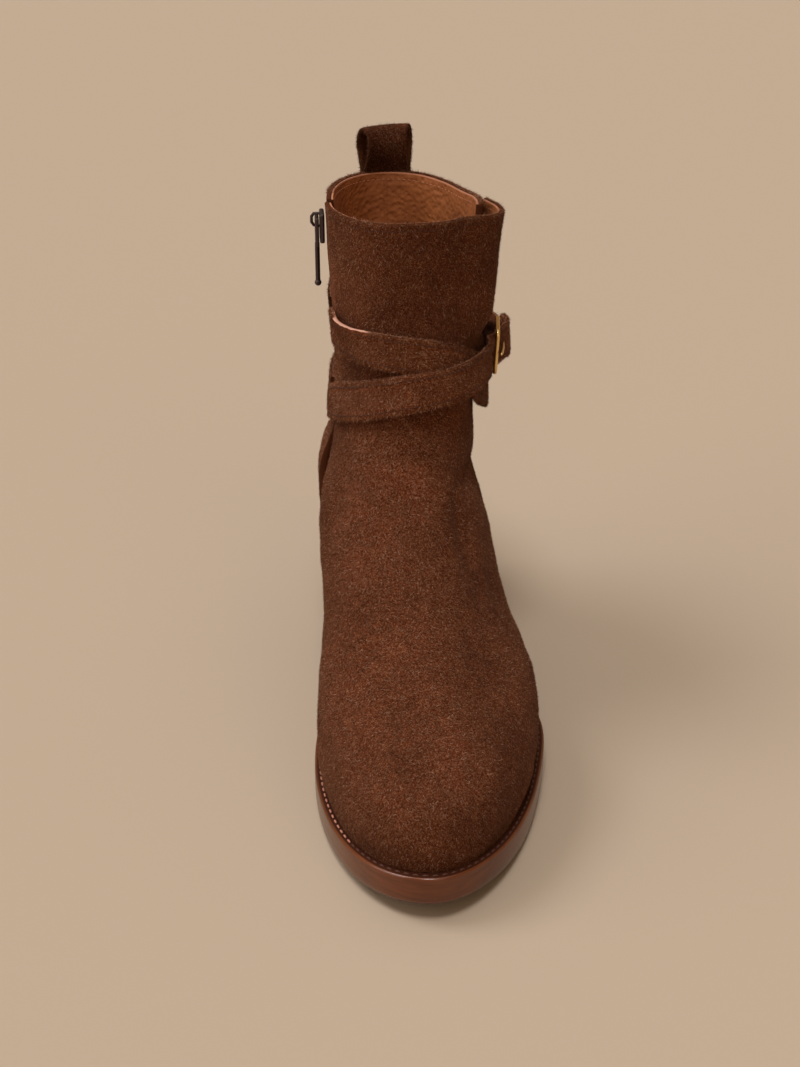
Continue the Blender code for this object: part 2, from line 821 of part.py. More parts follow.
def build_zip_chain():
    """Tape and coil in the slot, from just above its lower end to the collar."""
    shares = (-1.0, -0.36, -0.2, 0.2, 0.36, 1.0)
    ridge = (0.0, 0.0, 1.1, 1.1, 0.0, 0.0)
    half = ZIP_SLOT / 2 - 0.8
    low = next(up for up in upper_levels() if on_upper(zip_at(up), up).z > ZIP_LOW) + 0.02
    grid = []
    rows = 16
    for r in range(rows + 1):
        up = mix(low, 0.992, r / rows)
        reach = girth(up)
        grid.append([
            lifted(zip_at(up) + share * half / reach, up, -2.1 + raised)
            for share, raised in zip(shares, ridge)
        ])
    return sheet("zip_chain", grid, 1.0, FINISH["zip"], side=1)


def upright_frame(around, height, lift):
    """Matrix of a place on the upper with z upright, y outwards and x level along the surface."""
    origin = place(lifted(around, up_at(around, height), lift))
    y = place(lifted(around, up_at(around, height), lift + 1)) - origin
    y.z = 0
    y.normalize()
    z = Vector((0, 0, 1))
    x = y.cross(z)
    return Matrix.Translation(origin) @ Matrix((x, y, z)).transposed().to_4x4()


def box_mesh(name, size, centre, bevel):
    """A box with rounded edges, in millimetres about the origin of its frame."""
    bm = bmesh.new()
    bmesh.ops.create_cube(bm, size=1.0)
    for v in bm.verts:
        v.co = Vector([c * s + o for c, s, o in zip(v.co, size, centre)]) * MM
    bmesh.ops.bevel(bm, geom=bm.edges[:], offset=bevel * MM, segments=2, affect="EDGES", profile=0.5)
    mesh = bpy.data.meshes.new(name)
    bm.to_mesh(mesh)
    bm.free()
    return mesh


def join(obj, other, operation):
    """Applies a Boolean and removes the tool object."""
    cut = obj.modifiers.new(operation.lower(), "BOOLEAN")
    cut.operation = operation
    cut.object = other
    bpy.context.view_layer.update()
    graph = bpy.context.evaluated_depsgraph_get()
    mesh = bpy.data.meshes.new_from_object(obj.evaluated_get(graph))
    obj.modifiers.remove(cut)
    obj.data = mesh
    bpy.data.objects.remove(other)
    return obj


def build_slider(hinge):
    """The zip's slider: a rounded body with a bail over its face for the pull tab."""
    body_z = -SLIDER_TALL / 2 + 2.6
    body_y = SLIDER_LIFT - HINGE_LIFT + SLIDER_THICK / 2
    body = box_mesh("zip_slider", (SLIDER_WIDE, SLIDER_THICK, SLIDER_TALL), (0, body_y, body_z), 0.7)
    slider = add_object("zip_slider", body, FINISH["zip_metal"], hinge)
    face = SLIDER_LIFT - HINGE_LIFT + SLIDER_THICK - 0.8
    crown = 2.1
    # (out of the slider's face, up it) along the bail, from its foot over the crown to its head
    bail = ((face, -3.6), (crown - 0.9, -3.2), (crown, -1.8), (crown, 0.6), (crown - 1.0, 1.9), (face, 1.9))
    arch = tube("bail", [Vector((0, *p)) * MM for p in bail], BAIL_BAR, FINISH["zip_metal"])
    arch.matrix_world = hinge
    return join(slider, arch, "UNION")


def build_pull(hinge):
    """The pull tab, hung on the bail by its crossbar: a ring plate, a thin rod and a ball."""
    top = 0.8
    plate = box_mesh(
        "zip_pull", (PULL_WIDE, PULL_THICK, PULL_RING), (0, 0, top - PULL_RING / 2), 0.55
    )
    pull = add_object("zip_pull", plate, FINISH["zip_metal"], hinge)
    hole = box_mesh(
        "hole", (PULL_HOLE_WIDE, PULL_THICK * 3, PULL_HOLE_LONG), (0, 0, -top - PULL_HOLE_LONG / 2), 0.5
    )
    join(pull, add_object("hole", hole, FINISH["zip_metal"], hinge), "DIFFERENCE")
    start, end = top - PULL_RING + 1.0, top - PULL_RING - PULL_ROD_LONG
    rod = tube("rod", [Vector((0, 0, start)) * MM, Vector((0, 0, end)) * MM], PULL_ROD, FINISH["zip_metal"])
    rod.matrix_world = hinge
    join(pull, rod, "UNION")
    bm = bmesh.new()
    bmesh.ops.create_uvsphere(bm, u_segments=12, v_segments=8, radius=PULL_BALL / 2 * MM)
    bmesh.ops.translate(bm, verts=bm.verts, vec=Vector((0, 0, end + 0.4)) * MM)
    ball = bpy.data.meshes.new("ball")
    bm.to_mesh(ball)
    bm.free()
    return join(pull, add_object("ball", ball, FINISH["zip_metal"], hinge), "UNION")


def build_boot():
    build_outsole()
    build_welt()
    build_insole()
    build_heel()
    build_upper()
    build_flap()
    build_pull_loop()
    build_straps()
    build_buckle()
    build_zip_chain()
    hinge = upright_frame(ZIP_AROUND, HINGE_HEIGHT, HINGE_LIFT)
    build_slider(hinge)
    build_pull(hinge)


clear_scene()
BOOT = bpy.data.collections.new("ankle_boot")
bpy.context.scene.collection.children.link(BOOT)
ROOT = bpy.data.objects.new("boot_root", None)
BOOT.objects.link(ROOT)
FINISH = {
    "suede": material("brown_suede", (0.13, 0.055, 0.028), 0.95),
    "lining": material("tan_lining", (0.42, 0.19, 0.08), 0.9),
    "sole": material("burnished_edge", (0.16, 0.055, 0.027), 0.4),
    "welt": material("leather_welt", (0.17, 0.05, 0.022), 0.45),
    "heel": material("stacked_leather", (0.16, 0.06, 0.03), 0.45),
    "lift": material("rubber_lift", (0.03, 0.02, 0.016), 1.0),
    "brass": material("brass", (0.75, 0.5, 0.2), 0.3, 1.0),
    "zip": material("zip_tape", (0.03, 0.026, 0.026), 0.8),
    "zip_metal": material("dark_metal", (0.05, 0.038, 0.038), 0.4, 0.9),
}
build_boot()
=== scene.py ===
"""Looks of the suede ankle boot: skins, straps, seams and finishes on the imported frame.

Shapes are worked out in the boot's own sizes, in millimetres: "across" is positive to the outer side,
"station" runs from the back of the sole to the toe, "height" is above the floor. "Around" runs round the
upper from 0 at the front by 0.25 outside and 0.5 at the back, and "up" from 0 at the welt to 1 at the collar.
"""

import math

import bpy
import numpy as np
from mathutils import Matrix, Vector


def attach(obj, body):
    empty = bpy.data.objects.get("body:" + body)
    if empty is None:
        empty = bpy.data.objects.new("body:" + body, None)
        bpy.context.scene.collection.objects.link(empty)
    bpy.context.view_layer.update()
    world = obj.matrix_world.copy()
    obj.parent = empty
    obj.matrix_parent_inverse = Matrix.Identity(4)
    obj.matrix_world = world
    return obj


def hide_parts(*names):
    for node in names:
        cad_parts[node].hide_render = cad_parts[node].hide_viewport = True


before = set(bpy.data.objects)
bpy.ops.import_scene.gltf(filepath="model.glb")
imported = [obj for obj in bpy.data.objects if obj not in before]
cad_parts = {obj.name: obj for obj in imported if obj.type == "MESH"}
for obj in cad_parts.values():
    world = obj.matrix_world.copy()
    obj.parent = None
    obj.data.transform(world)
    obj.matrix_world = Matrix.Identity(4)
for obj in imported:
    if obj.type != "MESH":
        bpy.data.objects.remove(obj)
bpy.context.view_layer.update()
MM = 0.001
TURN = 6.28
RANDOM = np.random.default_rng(11)

# Sizes shared with the solids
SOLE_LENGTH = 264.0
BALL_MEDIAL = 44.7
BALL_LATERAL = 50.5
BALL_STATION = 168.0
JOINT_SKEW = 11.0
LATERAL_TAPER = 0.23
SOLE_FLARE = 3.0
FLARE_STATION = 150.0
FLARE_SPREAD = 28.0
TOE_X = -2.5
HEEL_X = -3.6
WAIST_STATION = 105.0
WAIST_SPREAD = 38.0
WAIST_MEDIAL = 15.0
WAIST_LATERAL = 10.0
WELT_THICK = 3.0
WELT_WIDTH = 7.6
WELT_MARGIN = 4.6
FOREFOOT_THICK = 9.8
WAIST_THICK = 9.0
FOREFOOT_TOP = WELT_THICK + FOREFOOT_THICK
HEEL_TOP = 37.0
FLAT_BACK = 150.0
HEEL_FRONT = 50.0
SPRING_START = 190.0
TOE_SPRING = 9.0
HEEL_BREAST = 64.0
HEEL_TAPER = 2.5
LIFT_THICK = 6.0
GAP = 0.3
WALL = 2.6
QUARTER_STEP = 1.3
FLAP_STEP = 2.6
FLAP_BULGE = 6.5
FLAP_FULL = 0.15
FLAP_ROOT = 0.078
FLAP_EDGE = 0.225
FLAP_TIGHT = 0.72
FLAP_LOOSE = 0.81
SEAM_AROUND = 0.285
SEAM_BEND = 0.47
SEAM_LEAN = 0.13
ZIP_AROUND = 0.765
ZIP_BEND = 0.54
ZIP_LEAN = 0.24
ZIP_SLOT = 7.0
ZIP_LOW = 50.0
LOOP_WIDTH = 21.0
LOOP_THICK = 1.6
STRAP_WIDTH = 15.0
STRAP_THICK = 2.1
BASE_THICK = 1.3
BUCKLE_BAR = 2.4
BUCKLE_TALL = 21.0
BUCKLE_CORNER = 1.9
PRONG_BAR = 1.6
BUCKLE_HEIGHT = 140.5
END_BAR_AROUND = 0.24
REAR_BAR_AROUND = 0.296
END_BAR_LIFT = 9.8
REAR_BAR_LIFT = 12.8
FOLD_RADIUS = BUCKLE_BAR / 2 + 0.45

FEATHER_FRONT = SOLE_LENGTH - WELT_MARGIN
CENTRE_X = (BALL_LATERAL - BALL_MEDIAL) / 2


def smooth(low, high, value):
    t = np.clip((np.asarray(value, float) - low) / (high - low), 0, 1)
    return t * t * (3 - 2 * t)


def mix(a, b, t):
    return a + (b - a) * t


def run_length(line):
    """Length along a line of points, from 0 at its start."""
    return np.concatenate([[0.0], np.cumsum(np.linalg.norm(np.diff(line, axis=0), axis=1))])


def resample(values, along, even):
    """Rows of values that are known at lengths along a line, taken at other lengths."""
    return np.stack([np.interp(even, along, column) for column in values.T], 1)


def spring(station):
    return TOE_SPRING * np.maximum(0.0, (station - SPRING_START) / (SOLE_LENGTH - SPRING_START)) ** 2


def sole_top(station):
    return mix(HEEL_TOP, FOREFOOT_TOP, smooth(HEEL_FRONT, FLAT_BACK, station)) + spring(station)


def sole_low(station):
    thick = mix(WAIST_THICK, FOREFOOT_THICK, smooth(HEEL_FRONT, FLAT_BACK, station))
    return sole_top(station) - WELT_THICK - thick


# The upper's outer surface, a row per section, as in the solids
(FRONT, FRONT_Z, BACK, BACK_Z, MEDIAL, LATERAL, WIDEST,
 FRONT_POWER, BACK_POWER, WAIST, FOLLOW, FLARE) = range(12)
FEATHER_Z = sole_top(FEATHER_FRONT) + GAP
RINGS = np.pad([
    (FEATHER_FRONT, FEATHER_Z, WELT_MARGIN, HEEL_TOP + GAP, 41.0, 45.8, 170, 2.0, 2.6, 1.0, 1.0),
    (260.5, 33, 3.0, 44, 43.0, 47.8, 169, 2.05, 2.6, 0.85, 1.0),
    (255.0, 43, 1.8, 51, 42.6, 48.0, 166, 2.1, 2.6, 0.70, 0.95),
    (240.0, 51, 1.5, 58, 42.0, 46.6, 161, 2.15, 2.6, 0.50, 0.85),
    (210.0, 60, 2.0, 66, 40.0, 40.8, 143, 2.3, 2.6, 0.25, 0.65),
    (174.0, 75, 3.5, 77, 38.8, 35.0, 100, 2.3, 2.5, 0.05, 0.35),
    (142.0, 97, 7.0, 91, 37.6, 30.4, 74, 2.3, 2.4, 0.0, 0.1),
    (121.0, 124, 11.0, 109, 30.6, 29.6, 66, 2.25, 2.3, 0.0, 0.0),
    (112.5, 152, 12.5, 133, 28.6, 30.6, 64, 2.2, 2.25, 0.0, 0.0),
    (111.0, 185, 11.5, 166, 30.4, 32.4, 66, 2.2, 2.2, 0.0, 0.0),
    (113.0, 217.5, 9.0, 203, 32.0, 35.0, 70, 2.2, 2.2, 0.0, 0.0),
], ((0, 0), (0, 1)))
SOLE = np.array([SOLE_LENGTH, 0, 0, 0, BALL_MEDIAL, BALL_LATERAL, BALL_STATION, 2.0, 2.6, 1.0, 1.0, 1.0])


def ring_knots():
    front = np.hypot(np.diff(RINGS[:, FRONT]), np.diff(RINGS[:, FRONT_Z]))
    back = np.hypot(np.diff(RINGS[:, BACK]), np.diff(RINGS[:, BACK_Z]))
    knots = np.concatenate([[0.0], np.cumsum((front + back) / 2)])
    return knots / knots[-1]


KNOTS = ring_knots()


def ring_slopes():
    gaps = np.diff(KNOTS)[:, None]
    steps = np.diff(RINGS, axis=0) / gaps
    inner = (steps[:-1] * gaps[1:] + steps[1:] * gaps[:-1]) / (gaps[1:] + gaps[:-1])
    return np.concatenate([steps[:1], inner, steps[-1:]])


SLOPES = ring_slopes()


def ring_at(up):
    i = int(np.clip(np.searchsorted(KNOTS, up, "right") - 1, 0, len(KNOTS) - 2))
    wide = KNOTS[i + 1] - KNOTS[i]
    t = (up - KNOTS[i]) / wide
    return (
        (2 * t**3 - 3 * t**2 + 1) * RINGS[i]
        + (t**3 - 2 * t**2 + t) * wide * SLOPES[i]
        + (3 * t**2 - 2 * t**3) * RINGS[i + 1]
        + (t**3 - t**2) * wide * SLOPES[i + 1]
    )


def flare_at(station):
    """Extra width of the sole beside the little toe."""
    return SOLE_FLARE * np.exp(-(((station - FLARE_STATION) / FLARE_SPREAD) ** 2))


def half_width(ring, side, station):
    """Distance across of an outline on the outer (1) or inner (-1) side."""
    station = np.asarray(station, float)
    widest = ring[WIDEST] - side * JOINT_SKEW * ring[FOLLOW]
    half, waist = (ring[LATERAL], WAIST_LATERAL) if side > 0 else (ring[MEDIAL], WAIST_MEDIAL)
    ahead = station >= widest
    share_ahead = (station - widest) / (ring[FRONT] - widest)
    share_behind = (widest - station) / (widest - ring[BACK])
    share = np.clip(np.where(ahead, share_ahead, share_behind), 0, 1)
    front_power = ring[FRONT_POWER] - (LATERAL_TAPER * ring[FOLLOW] if side > 0 else 0)
    power = np.where(ahead, front_power, ring[BACK_POWER])
    middle = np.where(ahead, TOE_X * ring[FOLLOW], HEEL_X) * share**2
    pinch = waist * ring[WAIST] * np.exp(-(((station - WAIST_STATION) / WAIST_SPREAD) ** 2))
    if side > 0:
        pinch = pinch - ring[FLARE] * flare_at(station)
    return side * (half * np.maximum(0.0, 1 - share**power) ** (1 / power) - pinch) + middle


def ring_height(ring, station):
    share = (ring[FRONT] - station) / (ring[FRONT] - ring[BACK])
    chord = mix(sole_top(ring[FRONT]), sole_top(ring[BACK]), share)
    return mix(ring[FRONT_Z], ring[BACK_Z], share) + ring[FOLLOW] * (sole_top(station) - chord)


TABLE_UPS = 261
TABLE_HALF = 240


def build_table():
    """Points and normals of the upper on an even grid of up and around, and its girth at each up."""
    turns = np.cos(np.pi * np.arange(TABLE_HALF + 1) / TABLE_HALF)
    even = np.linspace(0, 1, TABLE_HALF + 1)
    points, girths = [], []
    for up in np.linspace(0, 1, TABLE_UPS):
        ring = ring_at(up)
        station = mix(ring[BACK], ring[FRONT], (turns + 1) / 2)
        halves, length = [], 0.0
        for side in (1, -1):
            line = np.stack([half_width(ring, side, station), station, ring_height(ring, station)], 1)
            along = run_length(line)
            halves.append(resample(line, along, even * along[-1]))
            length += along[-1]
        points.append(np.concatenate([halves[0], halves[1][::-1][1:]]))
        girths.append(length)
    points = np.array(points)
    closed = np.concatenate([points[:, -2:-1], points, points[:, 1:2]], axis=1)
    along = (closed[:, 2:] - closed[:, :-2]) / 2
    rise = np.gradient(points, axis=0)
    normals = np.cross(rise, along)
    normals /= np.linalg.norm(normals, axis=2, keepdims=True)
    return points, normals, np.array(girths)


POINTS, NORMALS, GIRTHS = build_table()


def sample(table, around, up):
    """Value of a table at places round and up the upper."""
    a = (np.asarray(around, float) % 1.0) * (table.shape[1] - 1)
    u = np.clip(np.asarray(up, float), 0, 1) * (table.shape[0] - 1)
    a0 = np.clip(a.astype(int), 0, table.shape[1] - 2)
    u0 = np.clip(u.astype(int), 0, table.shape[0] - 2)
    fa, fu = (a - a0)[..., None], (u - u0)[..., None]
    low = table[u0, a0] * (1 - fa) + table[u0, a0 + 1] * fa
    high = table[u0 + 1, a0] * (1 - fa) + table[u0 + 1, a0 + 1] * fa
    return low * (1 - fu) + high * fu


def girth(up):
    return np.interp(up, np.linspace(0, 1, TABLE_UPS), GIRTHS)


def up_at(around, height):
    around, height = np.broadcast_arrays(np.asarray(around, float), np.asarray(height, float))
    low, high = np.zeros(around.shape), np.ones(around.shape)
    for _ in range(26):
        middle = (low + high) / 2
        below = sample(POINTS, around, middle)[..., 2] < height
        low, high = np.where(below, middle, low), np.where(below, high, middle)
    return (low + high) / 2


def lifted(around, up, lift):
    normal = sample(NORMALS, around, up)
    normal = normal / np.linalg.norm(normal, axis=-1, keepdims=True)
    return sample(POINTS, around, up) + normal * np.asarray(lift, float)[..., None]


def place(points):
    """Boot sizes in millimetres to the frame in metres."""
    p = np.asarray(points, float)
    return np.stack([p[..., 0] - CENTRE_X, SOLE_LENGTH / 2 - p[..., 1], p[..., 2]], -1) * MM


def turned(vectors):
    """Directions in boot sizes to the frame."""
    v = np.asarray(vectors, float)
    return np.stack([v[..., 0], -v[..., 1], v[..., 2]], -1)


def unit(vectors):
    v = np.asarray(vectors, float)
    return v / np.maximum(1e-12, np.linalg.norm(v, axis=-1, keepdims=True))


def wave(values, seed, reach):
    """Smooth uneven wave along a line, about -1 to 1, with features of about the given reach."""
    rng = np.random.default_rng(seed)
    values = np.asarray(values, float)
    total = np.zeros_like(values)
    for k in range(5):
        total += math.sin(rng.uniform(0, TURN)) * 0.2
        total += np.sin(values * TURN / reach * (0.45 + 0.37 * k) + rng.uniform(0, TURN)) * 0.34
    return total


def add_object(name, data):
    obj = bpy.data.objects.new(name, data)
    bpy.context.scene.collection.objects.link(obj)
    return obj


def add_piece(
    name, points, faces, materials, indices=None, body="boot", replaces=(), smooth_angle=None,
):
    """A mesh piece in metres that rides on a body."""
    points = np.asarray(points).reshape(-1, 3)
    mesh = bpy.data.meshes.new(name)
    if isinstance(faces, np.ndarray):
        count, corners = faces.shape
        mesh.vertices.add(len(points))
        mesh.vertices.foreach_set("co", points.astype(np.float32).ravel())
        mesh.loops.add(count * corners)
        mesh.loops.foreach_set("vertex_index", faces.astype(np.int32).ravel())
        mesh.polygons.add(count)
        mesh.polygons.foreach_set("loop_start", np.arange(0, count * corners, corners, dtype=np.int32))
        mesh.update(calc_edges=True)
    else:
        mesh.from_pydata(points.tolist(), [], [list(map(int, f)) for f in faces])
    for material in materials:
        mesh.materials.append(material)
    if indices is not None:
        mesh.polygons.foreach_set("material_index", np.asarray(indices, np.int32))
    mesh.polygons.foreach_set("use_smooth", np.ones(len(mesh.polygons), bool))
    if smooth_angle is not None:
        mesh.set_sharp_from_angle(angle=math.radians(smooth_angle))
    mesh.update()
    obj = add_object(name, mesh)
    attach(obj, body)
    if replaces:
        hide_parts(*replaces)


def grid_faces(rows, columns, closed_rows=False, closed_columns=False):
    r = np.arange(rows if closed_rows else rows - 1)
    c = np.arange(columns if closed_columns else columns - 1)
    r, c = np.meshgrid(r, c, indexing="ij")
    r2, c2 = (r + 1) % rows, (c + 1) % columns
    quads = np.stack([r * columns + c, r * columns + c2, r2 * columns + c2, r2 * columns + c], -1)
    return quads.reshape(-1, 4)


def tube_faces(rows, columns):
    """Faces of a tube of closed rings, with a cap at each end."""
    ring = np.arange(columns)
    return [*grid_faces(rows, columns, closed_columns=True), ring[::-1], (rows - 1) * columns + ring]


# Finishes

WHITE = (1.0, 1.0, 1.0)


def new_material(name):
    material = bpy.data.materials.new(name)
    material.use_nodes = True
    tree = material.node_tree
    return material, tree, tree.nodes["Principled BSDF"]


def set_inputs(node, values):
    for name, value in values.items():
        node.inputs[name].default_value = value


def object_coords(tree):
    return tree.nodes.new("ShaderNodeTexCoord").outputs["Object"]


def noise(tree, scale, detail=3.0, rough=0.55, coords=None, distortion=0.0, pick=0.0):
    node = tree.nodes.new("ShaderNodeTexNoise")
    node.noise_dimensions = "4D"
    set_inputs(node, {
        "W": pick, "Scale": scale, "Detail": detail, "Roughness": rough, "Distortion": distortion,
    })
    if coords is None:
        coords = object_coords(tree)
    tree.links.new(coords, node.inputs["Vector"])
    return node.outputs["Fac"]


def ramp(tree, factor, *stops):
    node = tree.nodes.new("ShaderNodeValToRGB")
    elements = node.color_ramp.elements
    while len(elements) < len(stops):
        elements.new(0.5)
    for element, (place_at, colour) in zip(elements, stops):
        element.position = place_at
        element.color = (*colour, 1)
    tree.links.new(factor, node.inputs["Fac"])
    return node.outputs["Color"]


def multiply(tree, a, b):
    """Product of two colours, each from a socket or given plainly."""
    node = tree.nodes.new("ShaderNodeMix")
    node.data_type = "RGBA"
    node.blend_type = "MULTIPLY"
    node.inputs["Factor"].default_value = 1.0
    for socket, value in ((node.inputs[6], a), (node.inputs[7], b)):
        if isinstance(value, tuple):
            socket.default_value = (*value, 1)
        else:
            tree.links.new(value, socket)
    return node.outputs[2]


def bump(tree, shader, height, strength, distance, normal=None):
    node = tree.nodes.new("ShaderNodeBump")
    set_inputs(node, {"Strength": strength, "Distance": distance})
    tree.links.new(height, node.inputs["Height"])
    if normal is not None:
        tree.links.new(normal, node.inputs["Normal"])
    tree.links.new(node.outputs["Normal"], shader.inputs["Normal"])
    return node.outputs["Normal"]


SUEDE_TONES = ((0.033, 0.0052, 0.0010), (0.070, 0.0190, 0.0066), (0.150, 0.0680, 0.0380))
# fibres from the dark gaps to the pale tips: colour and share of all
FIBRE_TONES = (
    ((0.036, 0.0078, 0.0020), 0.22), ((0.058, 0.0165, 0.0056), 0.30), ((0.090, 0.0325, 0.0152), 0.28),
    ((0.138, 0.0655, 0.0385), 0.15), ((0.222, 0.1280, 0.0880), 0.05),
)


def suede_patches(tree):
    """Soft lighter and darker patches of brushed suede, as a factor."""
    patches = noise(tree, 34.0, pick=2.4)
    return ramp(tree, patches, (0.32, (0.76, 0.74, 0.73)), (0.52, WHITE), (0.72, (1.30, 1.24, 1.24)))


def suede_surface(tree, shader, colour):
    tree.links.new(colour, shader.inputs["Base Color"])
    set_inputs(shader, {
        "Roughness": 1.0, "Specular IOR Level": 0.05, "Sheen Weight": 0.06, "Sheen Roughness": 0.5,
        "Sheen Tint": (0.75, 0.42, 0.25, 1),
    })


def make_suede(name, lighten):
    """Brushed suede: soft patches, a fine uneven nap with strokes, and a weak sheen at grazing angles."""
    material, tree, shader = new_material(name)
    dark, mid, light = [tuple(c * lighten for c in colour) for colour in SUEDE_TONES]
    nap_grain = noise(tree, 1450.0, rough=0.75)
    strokes = noise(tree, 260.0, rough=0.6, distortion=0.6)
    base = ramp(tree, nap_grain, (0.36, dark), (0.51, mid), (0.66, light))
    brushed = ramp(tree, strokes, (0.34, (0.80, 0.79, 0.78)), (0.52, WHITE), (0.70, (1.20, 1.20, 1.20)))
    suede_surface(tree, shader, multiply(tree, multiply(tree, base, suede_patches(tree)), brushed))
    bump(tree, shader, nap_grain, 0.5, 0.0006)
    return material


def make_fibres(name, lighten):
    """One finish for each tone of the nap's fibres."""
    finishes = []
    for k, (tone, _) in enumerate(FIBRE_TONES):
        material, tree, shader = new_material(f"{name}_{k}")
        colour = multiply(tree, suede_patches(tree), tuple(c * lighten for c in tone))
        suede_surface(tree, shader, colour)
        finishes.append(material)
    return finishes


def make_lining():
    """Tan lining leather with a soft pebble."""
    material, tree, shader = new_material("tan_lining_leather")
    patches = noise(tree, 45.0)
    base = ramp(tree, patches, (0.3, (0.180, 0.052, 0.0130)), (0.7, (0.310, 0.098, 0.027)))
    tree.links.new(base, shader.inputs["Base Color"])
    set_inputs(shader, {"Roughness": 0.62, "Specular IOR Level": 0.35})
    cells = tree.nodes.new("ShaderNodeTexVoronoi")
    cells.feature = "SMOOTH_F1"
    cells.inputs["Scale"].default_value = 520.0
    tree.links.new(object_coords(tree), cells.inputs["Vector"])
    first = bump(tree, shader, cells.outputs["Distance"], 0.6, 0.0008)
    bump(tree, shader, noise(tree, 170.0, 4.0), 0.32, 0.0016, first)
    return material


def make_plain(name, colour, roughness, metallic=0.0, specular=0.5, grain=0.0, scale=900.0, depth=0.0002):
    material, tree, shader = new_material(name)
    set_inputs(shader, {
        "Base Color": (*colour, 1), "Roughness": roughness, "Metallic": metallic,
        "Specular IOR Level": specular,
    })
    if grain:
        bump(tree, shader, noise(tree, scale), grain, depth)
    return material


def make_sole_leather(name, dark, light, roughness):
    """Burnished sole leather with streaks along the edge."""
    material, tree, shader = new_material(name)
    stretch = tree.nodes.new("ShaderNodeMapping")
    stretch.inputs["Scale"].default_value = (1.0, 1.0, 9.0)
    tree.links.new(object_coords(tree), stretch.inputs["Vector"])
    streaks = noise(tree, 55.0, 5.0, 0.6, stretch.outputs["Vector"])
    base = ramp(tree, streaks, (0.30, dark), (0.72, light))
    shade = ramp(tree, noise(tree, 30.0), (0.3, (0.78, 0.76, 0.74)), (0.7, (1.18, 1.16, 1.14)))
    tree.links.new(multiply(tree, base, shade), shader.inputs["Base Color"])
    set_inputs(shader, {"Roughness": roughness, "Specular IOR Level": 0.5})
    first = bump(tree, shader, streaks, 0.18, 0.0006)
    bump(tree, shader, noise(tree, 700.0), 0.18, 0.0003, first)
    return material


SUEDE = make_suede("brown_suede_nap", 1.14)
STRAP_SUEDE = make_suede("brown_suede_strap", 1.55)
FIBRES = make_fibres("brown_suede_fibre", 1.14)
STRAP_FIBRES = make_fibres("brown_suede_strap_fibre", 1.55)
LOOP_SUEDE = make_suede("brown_suede_loop", 0.70)
LOOP_FIBRES = make_fibres("brown_suede_loop_fibre", 0.60)
LINING = make_lining()
RAW_EDGE = make_plain("raw_leather_edge", (0.36, 0.145, 0.078), 0.85, specular=0.2, grain=0.5, scale=1500.0)
SUEDE_EDGE = make_plain(
    "suede_cut_edge", (0.060, 0.0180, 0.0068), 1.0, specular=0.05, grain=0.8, scale=1500.0, depth=0.0004,
)
SOLE_EDGE = make_sole_leather("sole_burnished", (0.064, 0.0148, 0.0038), (0.118, 0.0310, 0.0080), 0.24)
# The welt's top is darkened as painted shade, where the upper overhangs its channel.
WELT_TOP_SHADED = make_plain("welt_top_painted_shade", (0.036, 0.0085, 0.0028), 0.8, specular=0.1, grain=0.5)
HEEL_LEATHER = make_sole_leather("heel_stacked", (0.068, 0.0155, 0.0046), (0.126, 0.0325, 0.0098), 0.30)
RUBBER = make_plain("lift_rubber", (0.02, 0.014, 0.011), 0.75, grain=0.3)
WELT_THREAD = make_plain("welt_thread", (0.36, 0.150, 0.100), 0.65, specular=0.3)
# Darker copy of the welt thread: painted shade on the stitches of the outer side and round the toe.
WELT_THREAD_SHADED = make_plain("welt_thread_painted_shade", (0.055, 0.0160, 0.0075), 0.65, specular=0.3)
PALE_CUT = make_plain("pale_cut_edge", (0.46, 0.245, 0.175), 0.85, specular=0.2, grain=0.4, scale=1500.0)
THREAD = make_plain("seam_thread", (0.040, 0.0135, 0.0058), 0.75, specular=0.3)
BRASS = make_plain("brass_polished", (0.74, 0.50, 0.20), 0.27, metallic=1.0, grain=0.08, scale=300.0)
ZIP_TAPE = make_plain("zip_woven_tape", (0.018, 0.012, 0.009), 0.9, specular=0.1, grain=0.6, scale=1800.0)
ZIP_COIL = make_plain("zip_coil_nylon", (0.020, 0.013, 0.010), 0.6, specular=0.2)
ZIP_METAL = make_plain("zip_dark_metal", (0.060, 0.042, 0.045), 0.36, metallic=0.85)


# Nap: short fibres on the suede, each a single blade. Sizes are in millimetres, leans in radians.
FIBRE_LENGTH = (0.8, 2.0)
FIBRE_LEAN = (1.05, 1.45)
FIBRE_HALF_WIDTH = (0.06, 0.12)
FIBRE_ROOT = 0.06
FALL_SPREAD = 0.05
# Fibres turn from their fall in wide swirls, the same over each patch, and by a spread of their own
SWIRL = 0.8
SWIRL_ACROSS = 190
SWIRL_RISE = 120
SWIRL_SPREAD = 0.75


